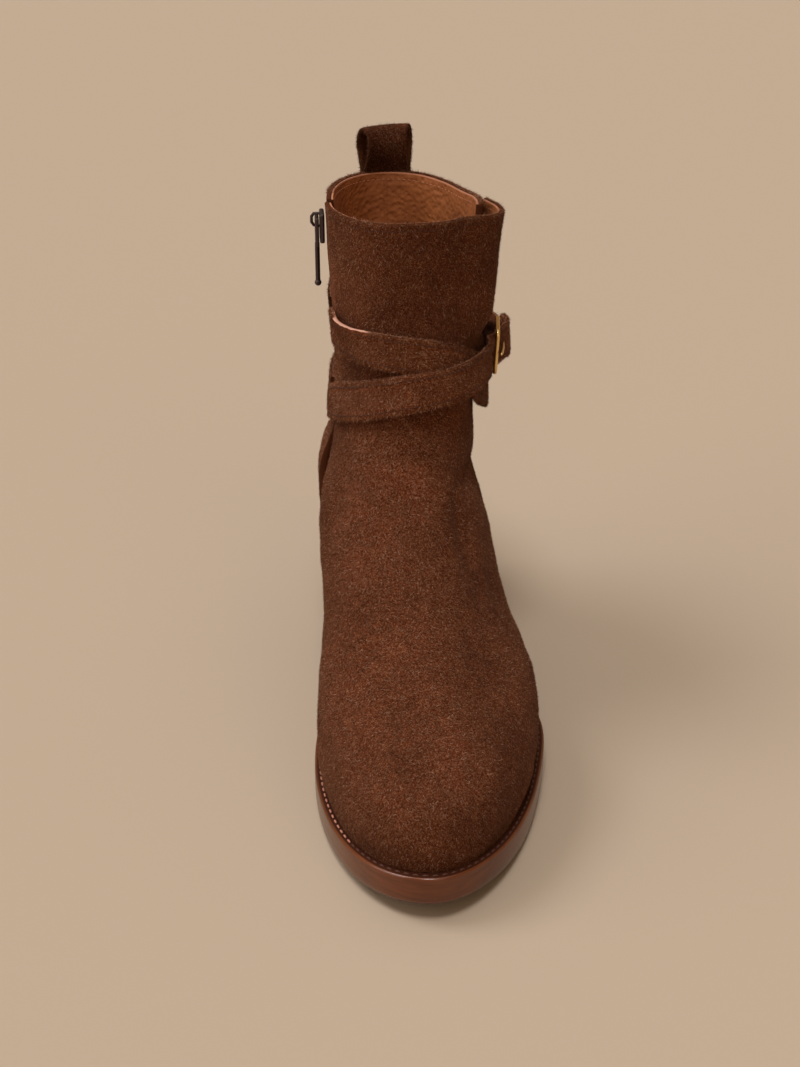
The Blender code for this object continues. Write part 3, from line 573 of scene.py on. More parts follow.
def nap(name, blocks, count, length=FIBRE_LENGTH, seed=0, finishes=FIBRES):
    """Joined mesh of fibres over grids of points in boot sizes.

    A block holds the grid, directions that tell its outside, and the weight of each of its cells.
    """
    rng = np.random.default_rng(seed)
    corners, normals, chances = [], [], []
    for grid, outside, weight in blocks:
        p = place(grid)
        quads = np.stack([p[:-1, :-1], p[:-1, 1:], p[1:, 1:], p[1:, :-1]], 2)
        normal = np.cross(quads[:, :, 1] - quads[:, :, 0], quads[:, :, 3] - quads[:, :, 0])
        normal *= np.sign((normal * turned(outside)).sum() + 1e-12)
        weight = np.broadcast_to(weight, normal.shape[:2])
        corners.append(quads.reshape(-1, 4, 3))
        normals.append(unit(normal).reshape(-1, 3))
        chances.append((np.linalg.norm(normal, axis=-1) * weight).ravel())
    corners, normals, chances = (np.concatenate(part) for part in (corners, normals, chances))
    cells = rng.choice(len(chances), count, p=chances / chances.sum())
    u, v = rng.uniform(size=(2, count, 1))
    a, b, c, d = (corners[cells, k] for k in range(4))
    out = normals[cells]
    root = mix(mix(a, b, u), mix(d, c, u), v) - out * FIBRE_ROOT * MM
    fall = np.array([0.0, 0.0, -1.0]) - out * -out[:, 2:]
    fall = unit(fall + rng.normal(scale=FALL_SPREAD, size=fall.shape))
    swirl = SWIRL * np.sin(root[:, 0] * SWIRL_ACROSS + 2 * np.sin(root[:, 2] * SWIRL_RISE))
    swirl += rng.normal(scale=SWIRL_SPREAD, size=count)
    flat = fall * np.cos(swirl)[:, None] + np.cross(out, fall) * np.sin(swirl)[:, None]
    lean = rng.uniform(*FIBRE_LEAN, size=(count, 1))
    way = out * np.cos(lean) + flat * np.sin(lean)
    side = unit(np.cross(way, out)) * rng.uniform(*FIBRE_HALF_WIDTH, size=(count, 1)) * MM
    tip = root + way * rng.uniform(*length, size=(count, 1)) * MM
    points = np.stack([root - side, root + side, tip], 1).reshape(-1, 3)
    tones = rng.choice(len(FIBRE_TONES), count, p=[share for _, share in FIBRE_TONES])
    faces = np.arange(3 * count).reshape(-1, 3)
    add_piece(name, points, faces, finishes, tones)


# The upper's skins. Pairs are shares of up or around between which a change takes place.
SEAM_DRAWN = (0.60, 0.86)
UNDER_FLAP = (0.25, 0.36)
WELT_RISE = (0.0, 0.06)


def zip_at(up):
    return ZIP_AROUND - ZIP_LEAN * np.maximum(0.0, ZIP_BEND - np.asarray(up, float))


def seam_at(up):
    """The front panel's outer edge: straight down to the welt, drawn forward above the straps."""
    low = SEAM_AROUND + SEAM_LEAN * np.maximum(0.0, SEAM_BEND - np.asarray(up, float))
    return mix(low, FLAP_EDGE, smooth(*SEAM_DRAWN, up))


# Main creases: a path of (around, height, depth inwards) and its half width. Negative depths are ridges.
CREASES = (
    # fold that runs in below the straps on the outer side and turns down beside the instep
    (((0.265, 95, 2.6), (0.20, 96, 4.0), (0.127, 103, 3.4), (0.088, 105, 3.2), (0.072, 99, 3.0),
      (0.076, 90, 2.6), (0.084, 80, 1.8), (0.090, 70, 0.4)), 6.5),
    # the panel's outer side lies flatter below it
    (((0.26, 88, 0.8), (0.240, 78, 2.2), (0.235, 68, 2.6), (0.220, 61, 2.2), (0.20, 54, 0.6)), 11.0),
    (((0.305, 72, 2.0), (0.325, 61, 2.4), (0.280, 55, 2.6), (0.245, 51, 0.9)), 9.0),
    # soft pillow behind that fold
    (((0.180, 86, -0.3), (0.140, 89, -0.6), (0.120, 80, -0.3), (0.125, 70, 0.6)), 9.0),
    # fullness of the shaft behind the buckle
    (((0.200, 147, -1.6), (0.245, 144, -4.6), (0.285, 140, -2.4)), 9.5),
    # the shaft draws in a little above it
    (((0.255, 206, 0.9), (0.255, 176, 1.5)), 15.0),
    # slack of the quarter under the straps on the inner side
    (((0.60, 103, 0.8), (0.66, 101, 2.0), (0.71, 104, 1.4)), 7.5),
    # shallow hollows of the shaft between collar and straps
    (((0.030, 206, 0.3), (0.050, 190, 1.0), (0.060, 172, 0.5)), 10.0),
    (((0.900, 204, 0.2), (0.890, 188, 0.8), (0.895, 176, 0.4)), 12.0),
    # creases across the instep below the straps
    (((-0.070, 122, 0.2), (-0.010, 119, 0.9), (0.060, 118, 0.3)), 6.0),
    (((-0.095, 108, 0.3), (-0.030, 104, 0.8), (0.040, 103, 0.4)), 7.0),
    # flexing of the vamp above the ball
    (((-0.100, 58, 0.2), (-0.055, 63, 0.9), (-0.010, 66, 0.4)), 8.0),
    (((0.010, 63, 0.3), (0.050, 61, 0.8), (0.085, 55, 0.3)), 8.0),
    # slack of the quarter above the counter
    (((0.540, 90, 0.3), (0.600, 95, 1.0), (0.660, 94, 0.4)), 9.0),
    (((0.350, 98, 0.4), (0.400, 93, 1.0), (0.460, 90, 0.3)), 9.0),
)


def creases(around, up):
    """Inward depth of the placed creases, in millimetres."""
    around = np.asarray(around, float)
    height = sample(POINTS, around, up)[..., 2]
    reach = girth(up)
    total = np.zeros(np.broadcast(around, height).shape)
    for path, half in CREASES:
        centre = sum(a for a, _, _ in path) / len(path)
        x = ((around - centre + 0.5) % 1.0 - 0.5) * reach
        nearest = np.full(total.shape, 1e9)
        depth = np.zeros(total.shape)
        for (a0, z0, d0), (a1, z1, d1) in zip(path, path[1:]):
            x0, x1 = (a0 - centre) * reach, (a1 - centre) * reach
            dx, dy = x1 - x0, z1 - z0
            t = np.clip(((x - x0) * dx + (height - z0) * dy) / (dx * dx + dy * dy + 1e-9), 0, 1)
            gap = np.hypot(x - x0 - t * dx, height - z0 - t * dy)
            depth = np.where(gap < nearest, mix(d0, d1, t), depth)
            nearest = np.minimum(gap, nearest)
        total += depth * np.exp(-((nearest / half) ** 2))
    return total


# The front panel runs straight back to the zip while the quarter bulges: (height, inward depth at the zip)
ZIP_HOLLOW = np.array([
    (50, 0.0), (60, 1.0), (70, 2.2), (80, 3.8), (90, 5.0), (98, 5.0), (106, 3.4), (113, 1.4), (120, 0.0),
])
ZIP_HOLLOW_REACH = 0.085


def zip_hollow(around, up):
    a = np.asarray(around, float) % 1.0
    near = smooth(ZIP_HOLLOW_REACH, 0.0, np.abs(a - zip_at(up))) ** 1.2
    return near * np.interp(sample(POINTS, around, up)[..., 2], ZIP_HOLLOW[:, 0], ZIP_HOLLOW[:, 1])


# Small waves of the leather, largest first: length and depth
SLACK = ((55.0, 0.35), (30.0, 0.22), (17.0, 0.12))
SLACK_SEED = 40


def slack(around, up):
    """Small unevenness of soft leather, in millimetres."""
    p = sample(POINTS, around, up)
    total = np.zeros(p.shape[:-1])
    for k, (size, depth) in enumerate(SLACK):
        rng = np.random.default_rng(SLACK_SEED + k)
        for _ in range(4):
            way = unit(rng.normal(size=3))
            total += depth * 0.5 * np.sin((p @ way) * TURN / size + rng.uniform(0, TURN))
    return total * smooth(0.0, 0.05, up)


def flap_bulge(around, up):
    """How far the front panel's loose outer edge stands off the quarter."""
    a = np.asarray(around, float) % 1.0
    rise = smooth(FLAP_ROOT, FLAP_FULL, a)
    fall = 1 - smooth(FLAP_FULL, FLAP_EDGE + 0.01, a)
    return FLAP_BULGE * rise * fall * smooth(FLAP_TIGHT, FLAP_LOOSE, up)


def front_lift(around, up):
    return flap_bulge(around, up) - zip_hollow(around, up) - creases(around, up) + slack(around, up)


def quarter_lift(around, up):
    a = np.asarray(around, float)
    under = smooth(FLAP_TIGHT - 0.02, FLAP_TIGHT + 0.03, up) * (1 - smooth(*UNDER_FLAP, a))
    depth = mix(QUARTER_STEP, FLAP_STEP, under) * smooth(*WELT_RISE, up)
    return -depth - creases(around, up) + slack(around, up)


# The collar's rise over the welt turns millimetres at the collar into shares of up
COLLAR_RISE = 196.0
COLLAR_DIP = 2.4
DIP_AROUND = 0.33
DIP_SPREAD = 0.075


def collar_level(around, up):
    """The collar sinks a little between the pull loop and the front panel's edge."""
    a = np.asarray(around, float) % 1.0
    return up * (1 - COLLAR_DIP / COLLAR_RISE * np.exp(-(((a - DIP_AROUND) / DIP_SPREAD) ** 2)))


# Rolled top edge of a skin: (height over the edge, share of the thickness, finish of the band before it)
RIM = (
    (0.30, 0.05, 0), (0.55, 0.22, 3), (0.60, 0.42, 3), (0.42, 0.64, 3), (0.02, 0.70, 3), (0.10, 0.74, 2),
    (0.12, 0.94, 2), (-0.35, 1.00, 2),
)
RIM_FURRED = 4
RIM_FUR = 3.0
SIDE_BULGE = 0.45
# No nap within this reach of the zip above this share of up, where the zip's pull swings
PULL_REACH = 0.055
PULL_LOW = 0.78


def skin(name, left, right, lift, columns, thick, fibres, replaces=()):
    """A leather panel: outer face, a rolled top edge and the lining face, closed at its sides.

    left and right give the panel's edges round the upper for each row.
    """
    ups = SKIN_UPS
    shares = np.linspace(0, 1, columns)
    arounds = mix(left(ups)[:, None], right(ups)[:, None], shares[None, :])
    level = collar_level(arounds, np.broadcast_to(ups[:, None], arounds.shape))
    raised = lift(arounds, level)
    outer = lifted(arounds, level, raised)
    inner = lifted(arounds, level, raised - thick)
    rise = unit(outer[-1] - outer[-3])
    rim = [(mix(outer[-1], inner[-1], depth) + rise * over)[None] for over, depth, _ in RIM]
    inner[-1] = mix(inner[-1], inner[-2], 0.25)
    points = np.concatenate([outer, *rim, inner[::-1]])
    total, count = len(points), len(ups)
    faces = [grid_faces(total, columns)]
    kinds = np.zeros((total - 1, columns - 1), int)
    for k, (_, _, finish) in enumerate(RIM):
        kinds[count - 1 + k] = finish
    kinds[count - 1 + len(RIM):] = 1
    indices = [kinds.reshape(-1)]
    # sides, with a middle row pushed out a little, and the bottom
    extra, start = [], total * columns
    for column, step in ((0, 1), (columns - 1, -1)):
        away = unit(outer[:, column] - outer[:, column + step])
        extra.append((outer[:, column] + inner[:, column]) / 2 + away * SIDE_BULGE)
        out_row = np.arange(count) * columns + column
        in_row = (total - 1 - np.arange(count)) * columns + column
        mid_row = start + np.arange(count)
        start += count
        for a, b in ((out_row, mid_row), (mid_row, in_row)):
            quads = np.stack([a[:-1], a[1:], b[1:], b[:-1]], 1)
            faces.append(quads if step < 0 else quads[:, ::-1])
            indices.append(np.full(len(quads), 3))
        for row in range(count - 1, count + len(RIM)):
            faces.append([[row * columns + column, (row + 1) * columns + column, mid_row[-1]]])
            indices.append([3])
    low = np.arange(columns)
    last = (total - 1) * columns + low
    faces.append(np.stack([low[:-1], last[:-1], last[1:], low[1:]], 1))
    indices.append(np.full(columns - 1, 1))
    add_piece(
        name, place(np.concatenate([points.reshape(-1, 3), *extra])), [f for block in faces for f in block],
        [SUEDE, LINING, RAW_EDGE, SUEDE_EDGE], np.concatenate(indices),
        replaces=replaces, smooth_angle=60,
    )
    furred = np.concatenate([outer, *rim[:RIM_FURRED]])
    weight = np.ones((len(furred) - 1, columns - 1))
    weight[count - 1:] = RIM_FUR
    level, arounds = (np.pad(grid, ((0, RIM_FURRED), (0, 0)), "edge")[1:, 1:] for grid in (level, arounds))
    weight[(np.abs(arounds % 1.0 - ZIP_AROUND) < PULL_REACH) & (level > PULL_LOW)] = 0.0
    block = (furred, sample(NORMALS, arounds, level), weight)
    nap(name.replace("skin", "nap"), [block], fibres, seed=len(name))


def zip_foot():
    """How far up the zip's lower end lies."""
    ups = np.linspace(0, 0.5, 600)
    return ups[np.argmax(sample(POINTS, zip_at(ups), ups)[:, 2] > ZIP_LOW + 3)]


ZIP_FOOT = zip_foot()
ZIP_OPENS = (0.56, 0.76)
# Half widths of the opening, in millimetres
ZIP_CLOSED = 0.35
ZIP_OPEN = ZIP_SLOT / 2 - 0.6
ZIP_SEAM = -0.1


def zip_gap(up):
    """Half the opening at the zip: nearly closed below the straps, a seam below its lower end."""
    open_half = mix(ZIP_CLOSED, ZIP_OPEN, smooth(*ZIP_OPENS, up))
    return mix(ZIP_SEAM, open_half, smooth(ZIP_FOOT - 0.02, ZIP_FOOT + 0.03, up))


QUARTER_THICK = 2.9
SEAM_OVERLAP = 14.0
FRONT_COLUMNS, FRONT_FIBRES = 240, 185000
QUARTER_COLUMNS, QUARTER_FIBRES = 180, 120000
# Rows of the skins, closer at the welt
CLOSE_ROWS = 0.12
SKIN_UPS = np.concatenate([np.linspace(0, CLOSE_ROWS, 24)[:-1], np.linspace(CLOSE_ROWS, 1, 126)])


def build_upper():
    def zip_front(up):
        return zip_at(up) - 1 + zip_gap(up) / girth(up)

    def zip_rear(up):
        return zip_at(up) - zip_gap(up) / girth(up)

    def quarter_front(up):
        return seam_at(up) - SEAM_OVERLAP / girth(up)

    skin(
        "front_panel_skin", zip_front, seam_at, front_lift, FRONT_COLUMNS, WALL, FRONT_FIBRES,
        ("upper", "front_flap"),
    )
    skin(
        "quarter_skin", quarter_front, zip_rear, quarter_lift, QUARTER_COLUMNS, QUARTER_THICK, QUARTER_FIBRES,
    )


# Sole, welt and heel

OUTLINE_STEPS = 400
SOLE_POINTS = 420
LAYER_GAP = 0.05
# Edge of the sole from its top to its underside: (inset, share of the height)
SOLE_PROFILE = (
    (1.2, 1.0), (0.0, 1.0), (0.0, 0.86), (-0.05, 0.5), (0.1, 0.18), (0.4, 0.08), (1.1, 0.015), (2.2, 0.0),
)
WELT_STITCHES = 160
WELT_STITCH_INSET = 2.3
WELT_STITCH_LIFT = 0.22
# The welt's thread keeps its pale tone on the inner side behind the toe; elsewhere its stitches take a darker
# copy, painted shade where the upper shades the welt's channel.
PALE_THREAD_ACROSS = -14
PALE_THREAD_STATION = 236


def inset(margin):
    ring = SOLE.copy()
    ring[[FRONT, MEDIAL, LATERAL]] -= margin
    ring[BACK] += margin
    return ring


def outline(ring, count):
    """Even points round an outline as (across, station), from the toe by the outer side."""
    turns = np.cos(np.pi * np.arange(OUTLINE_STEPS + 1) / OUTLINE_STEPS)
    station = mix(ring[BACK], ring[FRONT], (turns + 1) / 2)
    outer = np.stack([half_width(ring, 1, station), station], 1)
    inner = np.stack([half_width(ring, -1, station), station], 1)[::-1]
    line = np.concatenate([outer, inner[1:]])
    along = run_length(line)
    return resample(line, along, np.linspace(0, along[-1], count, endpoint=False))


def ahead_of(line):
    """Unit directions along a closed outline."""
    return unit(np.roll(line, -1, 0) - np.roll(line, 1, 0))


def band(line, profile, heights):
    """Points round the sole. profile holds (inset, share of the height), heights gives low and high."""
    ahead = ahead_of(line)
    into = np.stack([ahead[:, 1], -ahead[:, 0]], 1)
    rows = []
    for depth, share in profile:
        at = line + into * depth
        low, high = heights(at[:, 1])
        rows.append(np.stack([at[:, 0], at[:, 1], mix(low, high, share)], 1))
    return np.stack(rows, 1)


def build_sole():
    line = outline(SOLE, SOLE_POINTS)
    count, wide = len(line), len(SOLE_PROFILE)

    def sole_heights(station):
        return sole_low(station), sole_top(station) - WELT_THICK - LAYER_GAP

    def welt_heights(station):
        return sole_top(station) - WELT_THICK, sole_top(station)

    faces = list(grid_faces(count, wide, closed_rows=True)[:, ::-1])
    # top and underside: strips across between the two sides
    for column, order in ((0, -1), (wide - 1, 1)):
        for k in range(count // 2):
            corners = (k, k + 1, (count - k - 1) % count, (count - k) % count)
            quad = list(dict.fromkeys(corner * wide + column for corner in corners))
            if len(quad) > 2:
                faces.append(quad[::order])
    add_piece(
        "outsole_edge", place(band(line, SOLE_PROFILE, sole_heights)), faces, [SOLE_EDGE],
        replaces=("outsole",), smooth_angle=40,
    )
    inner = WELT_WIDTH + (flare_at(line[:, 1]) * (line[:, 0] > 0))[:, None]
    profile = [
        (inner, 1.0), (4.0, 1.0), (2.0, 0.99), (0.9, 0.97), (0.4, 0.90), (0.12, 0.76), (0.0, 0.52),
        (0.0, 0.0), (inner, 0.0),
    ]
    faces = grid_faces(count, len(profile), closed_rows=True, closed_columns=True)
    # the welt's top bands take the darker finish: painted shade under the upper's overhang
    kinds = np.tile([1, 1, 1, 0, 0, 0, 0, 0, 0], count)
    add_piece(
        "welt_band", place(band(line, profile, welt_heights)), faces, [SOLE_EDGE, WELT_TOP_SHADED], kinds,
        replaces=("welt",), smooth_angle=50,
    )


def build_welt_stitches():
    """Thick stitches on the welt, close to the upper."""
    line = outline(inset(WELT_STITCH_INSET), WELT_STITCHES)
    ahead = ahead_of(line)
    across, station = line.T
    points = np.stack([across, station, sole_top(station) + WELT_STITCH_LIFT], 1)
    slope = (sole_top(station + ahead[:, 1]) - sole_top(station - ahead[:, 1])) / 2
    along = unit(np.stack([ahead[:, 0], ahead[:, 1], slope], 1))
    normal = np.tile([0.0, 0.0, 1.0], (len(line), 1))
    # stitches outside the inner side behind the toe get the painted shade
    dark = (across > PALE_THREAD_ACROSS) | (station > PALE_THREAD_STATION)
    for name, pick, finish in (
        ("welt_stitches", ~dark, WELT_THREAD),
        ("welt_stitches_painted_shade", dark, WELT_THREAD_SHADED),
    ):
        rows = (points[pick], along[pick], normal[pick])
        stitches(name, *rows, length=2.3, radius=0.44, material=finish, slot="leather_welt")


STITCH_SIDES = 7
STITCH_RINGS = ((-0.5, 0.25), (-0.38, 0.8), (-0.15, 1.0), (0.15, 1.0), (0.38, 0.8), (0.5, 0.25))


def stitches(name, points, along, normal, length, radius, material, slot, bow=0.25):
    """Joined mesh of short thread lengths. Points and directions are in boot sizes."""
    points, along, normal = np.asarray(points), unit(along), unit(normal)
    across = unit(np.cross(normal, along))
    normal = np.cross(along, across)
    angles = np.arange(STITCH_SIDES) * 2 * math.pi / STITCH_SIDES
    verts = []
    for share, wide in STITCH_RINGS:
        lift = -bow * radius * (2 * share) ** 2 * 2
        for angle in angles:
            verts.append(
                points + along * share * length + normal * (math.sin(angle) * radius * wide * 0.8 + lift)
                + across * math.cos(angle) * radius * wide
            )
    per = len(verts)
    base = grid_faces(len(STITCH_RINGS), STITCH_SIDES, closed_columns=True)
    faces = (np.arange(len(points))[:, None, None] * per + base[None]).reshape(-1, 4)
    add_piece(name, place(np.stack(verts, 1)), faces, [material])


def joined(parts):
    """Stitch places of several rows as one set."""
    return [np.concatenate(part) for part in zip(*parts)]


HEEL_POINTS = 60
HEEL_STEPS = 7
HEEL_START = 0.02
HEEL_SOFT = 0.5
SEAT_INSET = 0.2
LIFT_INSET = 0.5
BREAST_FOOT = HEEL_BREAST - 4.0
LIFT_FRONT = HEEL_BREAST - 4.4


def heel_layer(name, low, high, material, replaces):
    """A layer of the heel between two outlines, each given by its ring, its front and its height."""
    low_ring, low_front, low_height = low
    high_ring, high_front, high_height = high
    turn = 1 - np.cos(math.pi / 2 * np.linspace(0, 1, HEEL_POINTS))
    low_at = mix(low_ring[BACK] + HEEL_START, low_front, turn)
    high_at = mix(high_ring[BACK] + HEEL_START, high_front, turn)
    loop = []
    for side in (1, -1):
        below, above = half_width(low_ring, side, low_at), half_width(high_ring, side, high_at)
        for t in np.linspace(0, 1, HEEL_STEPS + 1)[::side]:
            soft = HEEL_SOFT * (1 - math.sin(math.pi * t) ** 0.2)
            x = mix(above, below, t) - np.sign(above - HEEL_X) * soft
            loop.append(np.stack([x, mix(high_at, low_at, t), mix(high_height(high_at), low_height, t)], 1))
    add_piece(
        name, place(np.stack(loop, 1)), tube_faces(HEEL_POINTS, len(loop)), [material],
        replaces=replaces, smooth_angle=40,
    )


def build_heel():
    seat, taper, foot = inset(SEAT_INSET), inset(HEEL_TAPER), inset(HEEL_TAPER + LIFT_INSET)
    heel_layer(
        "heel_stack", (taper, BREAST_FOOT, LIFT_THICK + LAYER_GAP),
        (seat, HEEL_BREAST, lambda s: sole_low(s) - LAYER_GAP),
        HEEL_LEATHER, ("heel_block",),
    )
    heel_layer(
        "heel_lift", (foot, LIFT_FRONT, 0.0),
        (taper, BREAST_FOOT, lambda s: LIFT_THICK + 0 * s),
        RUBBER, ("top_lift",),
    )


# Straps: their middle lines as (around, height, lift off the upper)
STRAP_START = ZIP_AROUND - 1 + 0.018
STRAP_STOP = ZIP_AROUND - 0.018
UPPER_STRAP = (
    (STRAP_START + 0.018, 160.5, 0.3), (-0.10, 163.5, 0.9), (0.0, 162.5, 0.9), (0.085, 153.0, 0.9),
    (0.16, 137.5, 1.3), (0.20, 131.0, 2.1), (0.24, 125.3, 4.4), (0.275, 122.3, 6.2), (0.31, 120.3, 5.8),
    (0.35, 118.8, 3.6), (0.40, 118.0, 1.2), (0.45, 117.8, 0.1), (0.50, 118.5, -0.3), (0.60, 120.5, -0.3),
    (0.68, 122.0, -0.3), (STRAP_STOP, 123.5, -0.3),
)
BUCKLED_STRAP = (
    (STRAP_START, 125.0, 0.9), (-0.10, 138.0, 0.9), (-0.035, 145.0, 2.4), (0.015, 148.0, 3.8),
    (0.08, 148.4, 3.9), (0.135, 147.2, 4.3), (0.188, 144.6, 5.3), (END_BAR_AROUND, BUCKLE_HEIGHT, 5.5),
    (0.268, BUCKLE_HEIGHT, 10.6), (REAR_BAR_AROUND, 140.0, 16.6), (0.318, 138.6, 18.8),
    (0.331, 137.4, 19.8), (0.340, 136.6, 20.3),
)
BASE_UNDER = ((0.352, 143.8, 6.2), (0.33, 141.9, 9.0))
BASE_STRAP = (
    (0.305, 140.8, 14.2), (0.33, 142.3, 11.6), (0.355, 144.2, 8.7), (0.39, 147.2, 4.8), (0.43, 150.6, 2.0),
    (0.50, 155.5, 0.2), (0.60, 159.0, -0.3), (0.68, 160.0, -0.3), (STRAP_STOP, 160.0, -0.3),
)
STRAP_STEP = 1.1
STRAP_TIP = 7.0
# Straps lie square to the zip at their ends, within this share round the boot
STRAP_SQUARE = (0.0, 0.06)
# Unevenness: share of the width, height of the face, and the length of each one's waves
WIDTH_UNEVEN, WIDTH_WAVE = 0.012, 26.0
FACE_UNEVEN, FACE_WAVE = 0.10, 9.0
EDGE_RAGGED = 0.012
STRAP_NAP = 90000
STRAP_FUZZ = 10000
FUZZ_LENGTH = (0.9, 2.2)
STITCH_INSET = 2.0
STITCH_LIFT = 0.20
# The upper strap's top edge curls off the shaft beside the zip and shows its pale cut there
CURL_AROUND = -0.118
CURL_REACH = 0.075
CURL_LIFT = 2.6
CURL_PALE = (-0.145, -0.058)


def spline(stops, splits):
    """Points on a smooth curve through the given ones."""
    stops = np.asarray(stops, float)
    padded = np.concatenate([stops[:1], stops, stops[-1:]])
    t = np.arange(splits)[:, None] / splits
    line = []
    for a, b, c, d in zip(padded, padded[1:], padded[2:], padded[3:]):
        line.append(
            a * (-0.5 * t + t * t - 0.5 * t**3) + b * (1 - 2.5 * t * t + 1.5 * t**3)
            + c * (0.5 * t + 2 * t * t - 1.5 * t**3) + d * (-0.5 * t * t + 0.5 * t**3)
        )
    return np.concatenate([*line, stops[-1:]])


def even_line(line):
    """A strap's line resampled to even steps of about a millimetre."""
    along = run_length(lifted(line[:, 0], up_at(line[:, 0], line[:, 1]), line[:, 2]))
    even = np.linspace(0, along[-1], max(8, int(along[-1] / STRAP_STEP)))
    return resample(line, along, even), even


def strap_headings(line):
    """Direction along the strap in the unrolled surface, always towards rising around."""
    reach = girth(up_at(line[:, 0], line[:, 1]))
    run = np.stack([np.gradient(line[:, 0]) * reach, np.gradient(line[:, 1])], 1)
    run *= np.where(run[:, :1] < 0, -1, 1)
    weak = np.linalg.norm(run, axis=1) < 0.35
    run = unit(run)
    for i in np.nonzero(weak)[0]:
        run[i] = run[i - 1] if i else (1.0, 0.0)
    return run, reach


def strap_surface(line, width, lift_extra=None):
    """Base points of a strap at shares across it (columns) and the outward direction of each row."""
    run, reach = strap_headings(line)
    ends = np.minimum(abs(line[:, 0] - STRAP_START), abs(line[:, 0] - STRAP_STOP))
    square = smooth(*STRAP_SQUARE, ends)

    def at(shares):
        shares = np.asarray(shares)[None, :]
        shift = shares * width[:, None] / 2
        around = line[:, :1] - square[:, None] * run[:, 1:] * shift / reach[:, None]
        height = line[:, 1:2] + run[:, :1] * shift
        raised = line[:, 2:3] + (lift_extra(around, shares) if lift_extra else 0)
        return lifted(around, up_at(around, height), raised)

    side = unit(at([0.5])[:, 0] - at([-0.5])[:, 0])
    ahead = unit(np.gradient(at([0.0])[:, 0], axis=0))
    return at, -unit(np.cross(ahead, side))


def strap_profile(thick):
    """Closed cross-section as (share across, height above the base), and the finish of each of its bands."""
    top = [(w, thick - 0.22 * abs(w) ** 6) for w in np.linspace(-0.955, 0.955, 11)]
    right = [(0.99, thick * 0.80), (1.0, thick * 0.52), (0.99, thick * 0.22)]
    low = [(w, 0.0) for w in np.linspace(0.955, -0.955, 5)]
    left = [(-w, h) for w, h in reversed(right)]
    return top + right + low + left, [0] * 11 + [1, 2, 2] + [2] * 5 + [2, 1, 0]


FURRED = []
EDGE_FUR = 2.5
STITCH_ROW_FUR = 0.15


def furred_strap(points, out, bare):
    """Block for the nap of a strap: its face and, closer, its two edges."""
    around = np.concatenate([points[:, -3:], points[:, :14]], axis=1)
    edge = np.isin(np.arange(around.shape[1] - 1), (0, 1, 2, 13, 14, 15))
    weight = np.tile(np.where(edge, EDGE_FUR, 1.0), (len(points) - 1, 1))
    # thin along the two rows of stitches, and none on the pale cut
    weight[:, (4, 11)] = STITCH_ROW_FUR
    weight[bare, 12:] = 0.0
    outside = np.broadcast_to(out[:-1, None, :], (len(points) - 1, around.shape[1] - 1, 3))
    return around, outside * ~edge[None, :, None], weight


def build_strap(name, line, thick, seed, replaces, tip=0.0, lift_extra=None, pale=(0.0, 0.0)):
    """A doubled suede strap with raw edges. Returns the places of its stitches, a row along each edge.

    Between the two given places round the boot its top edge stands free and shows its pale cut.
    """
    line, along = even_line(np.asarray(line, float))
    width = STRAP_WIDTH * (1 + WIDTH_UNEVEN * wave(along, seed, WIDTH_WAVE))
    if tip:
        left = np.clip((along[-1] - along) / tip, 0, 1)
        width = width * np.sqrt(np.clip(1 - (1 - left) ** 2.2, 0.012, 1))
    at, out = strap_surface(line, width, lift_extra)
    profile, kinds = strap_profile(thick)
    shares, heights = np.array(profile).T
    ragged = EDGE_RAGGED * RANDOM.normal(size=(len(line), len(profile))) * (abs(shares) > 0.9)
    base = at(shares)
    side = unit(base[:, [10]] - base[:, [0]])
    uneven = FACE_UNEVEN * wave(along, seed + 5, FACE_WAVE)[:, None] * (heights > 0.5)
    points = base + out[:, None, :] * (heights + uneven)[:, :, None]
    points += side * (ragged * shares * width[:, None] / 2)[:, :, None]
    indices = np.tile(kinds, (len(line) - 1, 1))
    bare = (line[1:, 0] > pale[0]) & (line[1:, 0] < pale[1])
    indices[bare, 11:13] = 3
    add_piece(
        name, place(points), tube_faces(len(line), len(profile)),
        [STRAP_SUEDE, SUEDE_EDGE, RAW_EDGE, PALE_CUT], [*indices.ravel(), 1, 1],
        replaces=replaces, smooth_angle=55,
    )
    FURRED.append(furred_strap(points, out, bare))
    picks = np.arange(2, len(line) - 2, 2)
    rows = []
    for sign in (1, -1):
        row = at([sign * (1 - STITCH_INSET / (STRAP_WIDTH / 2))])[:, 0] + out * (thick + STITCH_LIFT)
        rows.append((row[picks], np.gradient(row, axis=0)[picks], out[picks]))
    return joined(rows)


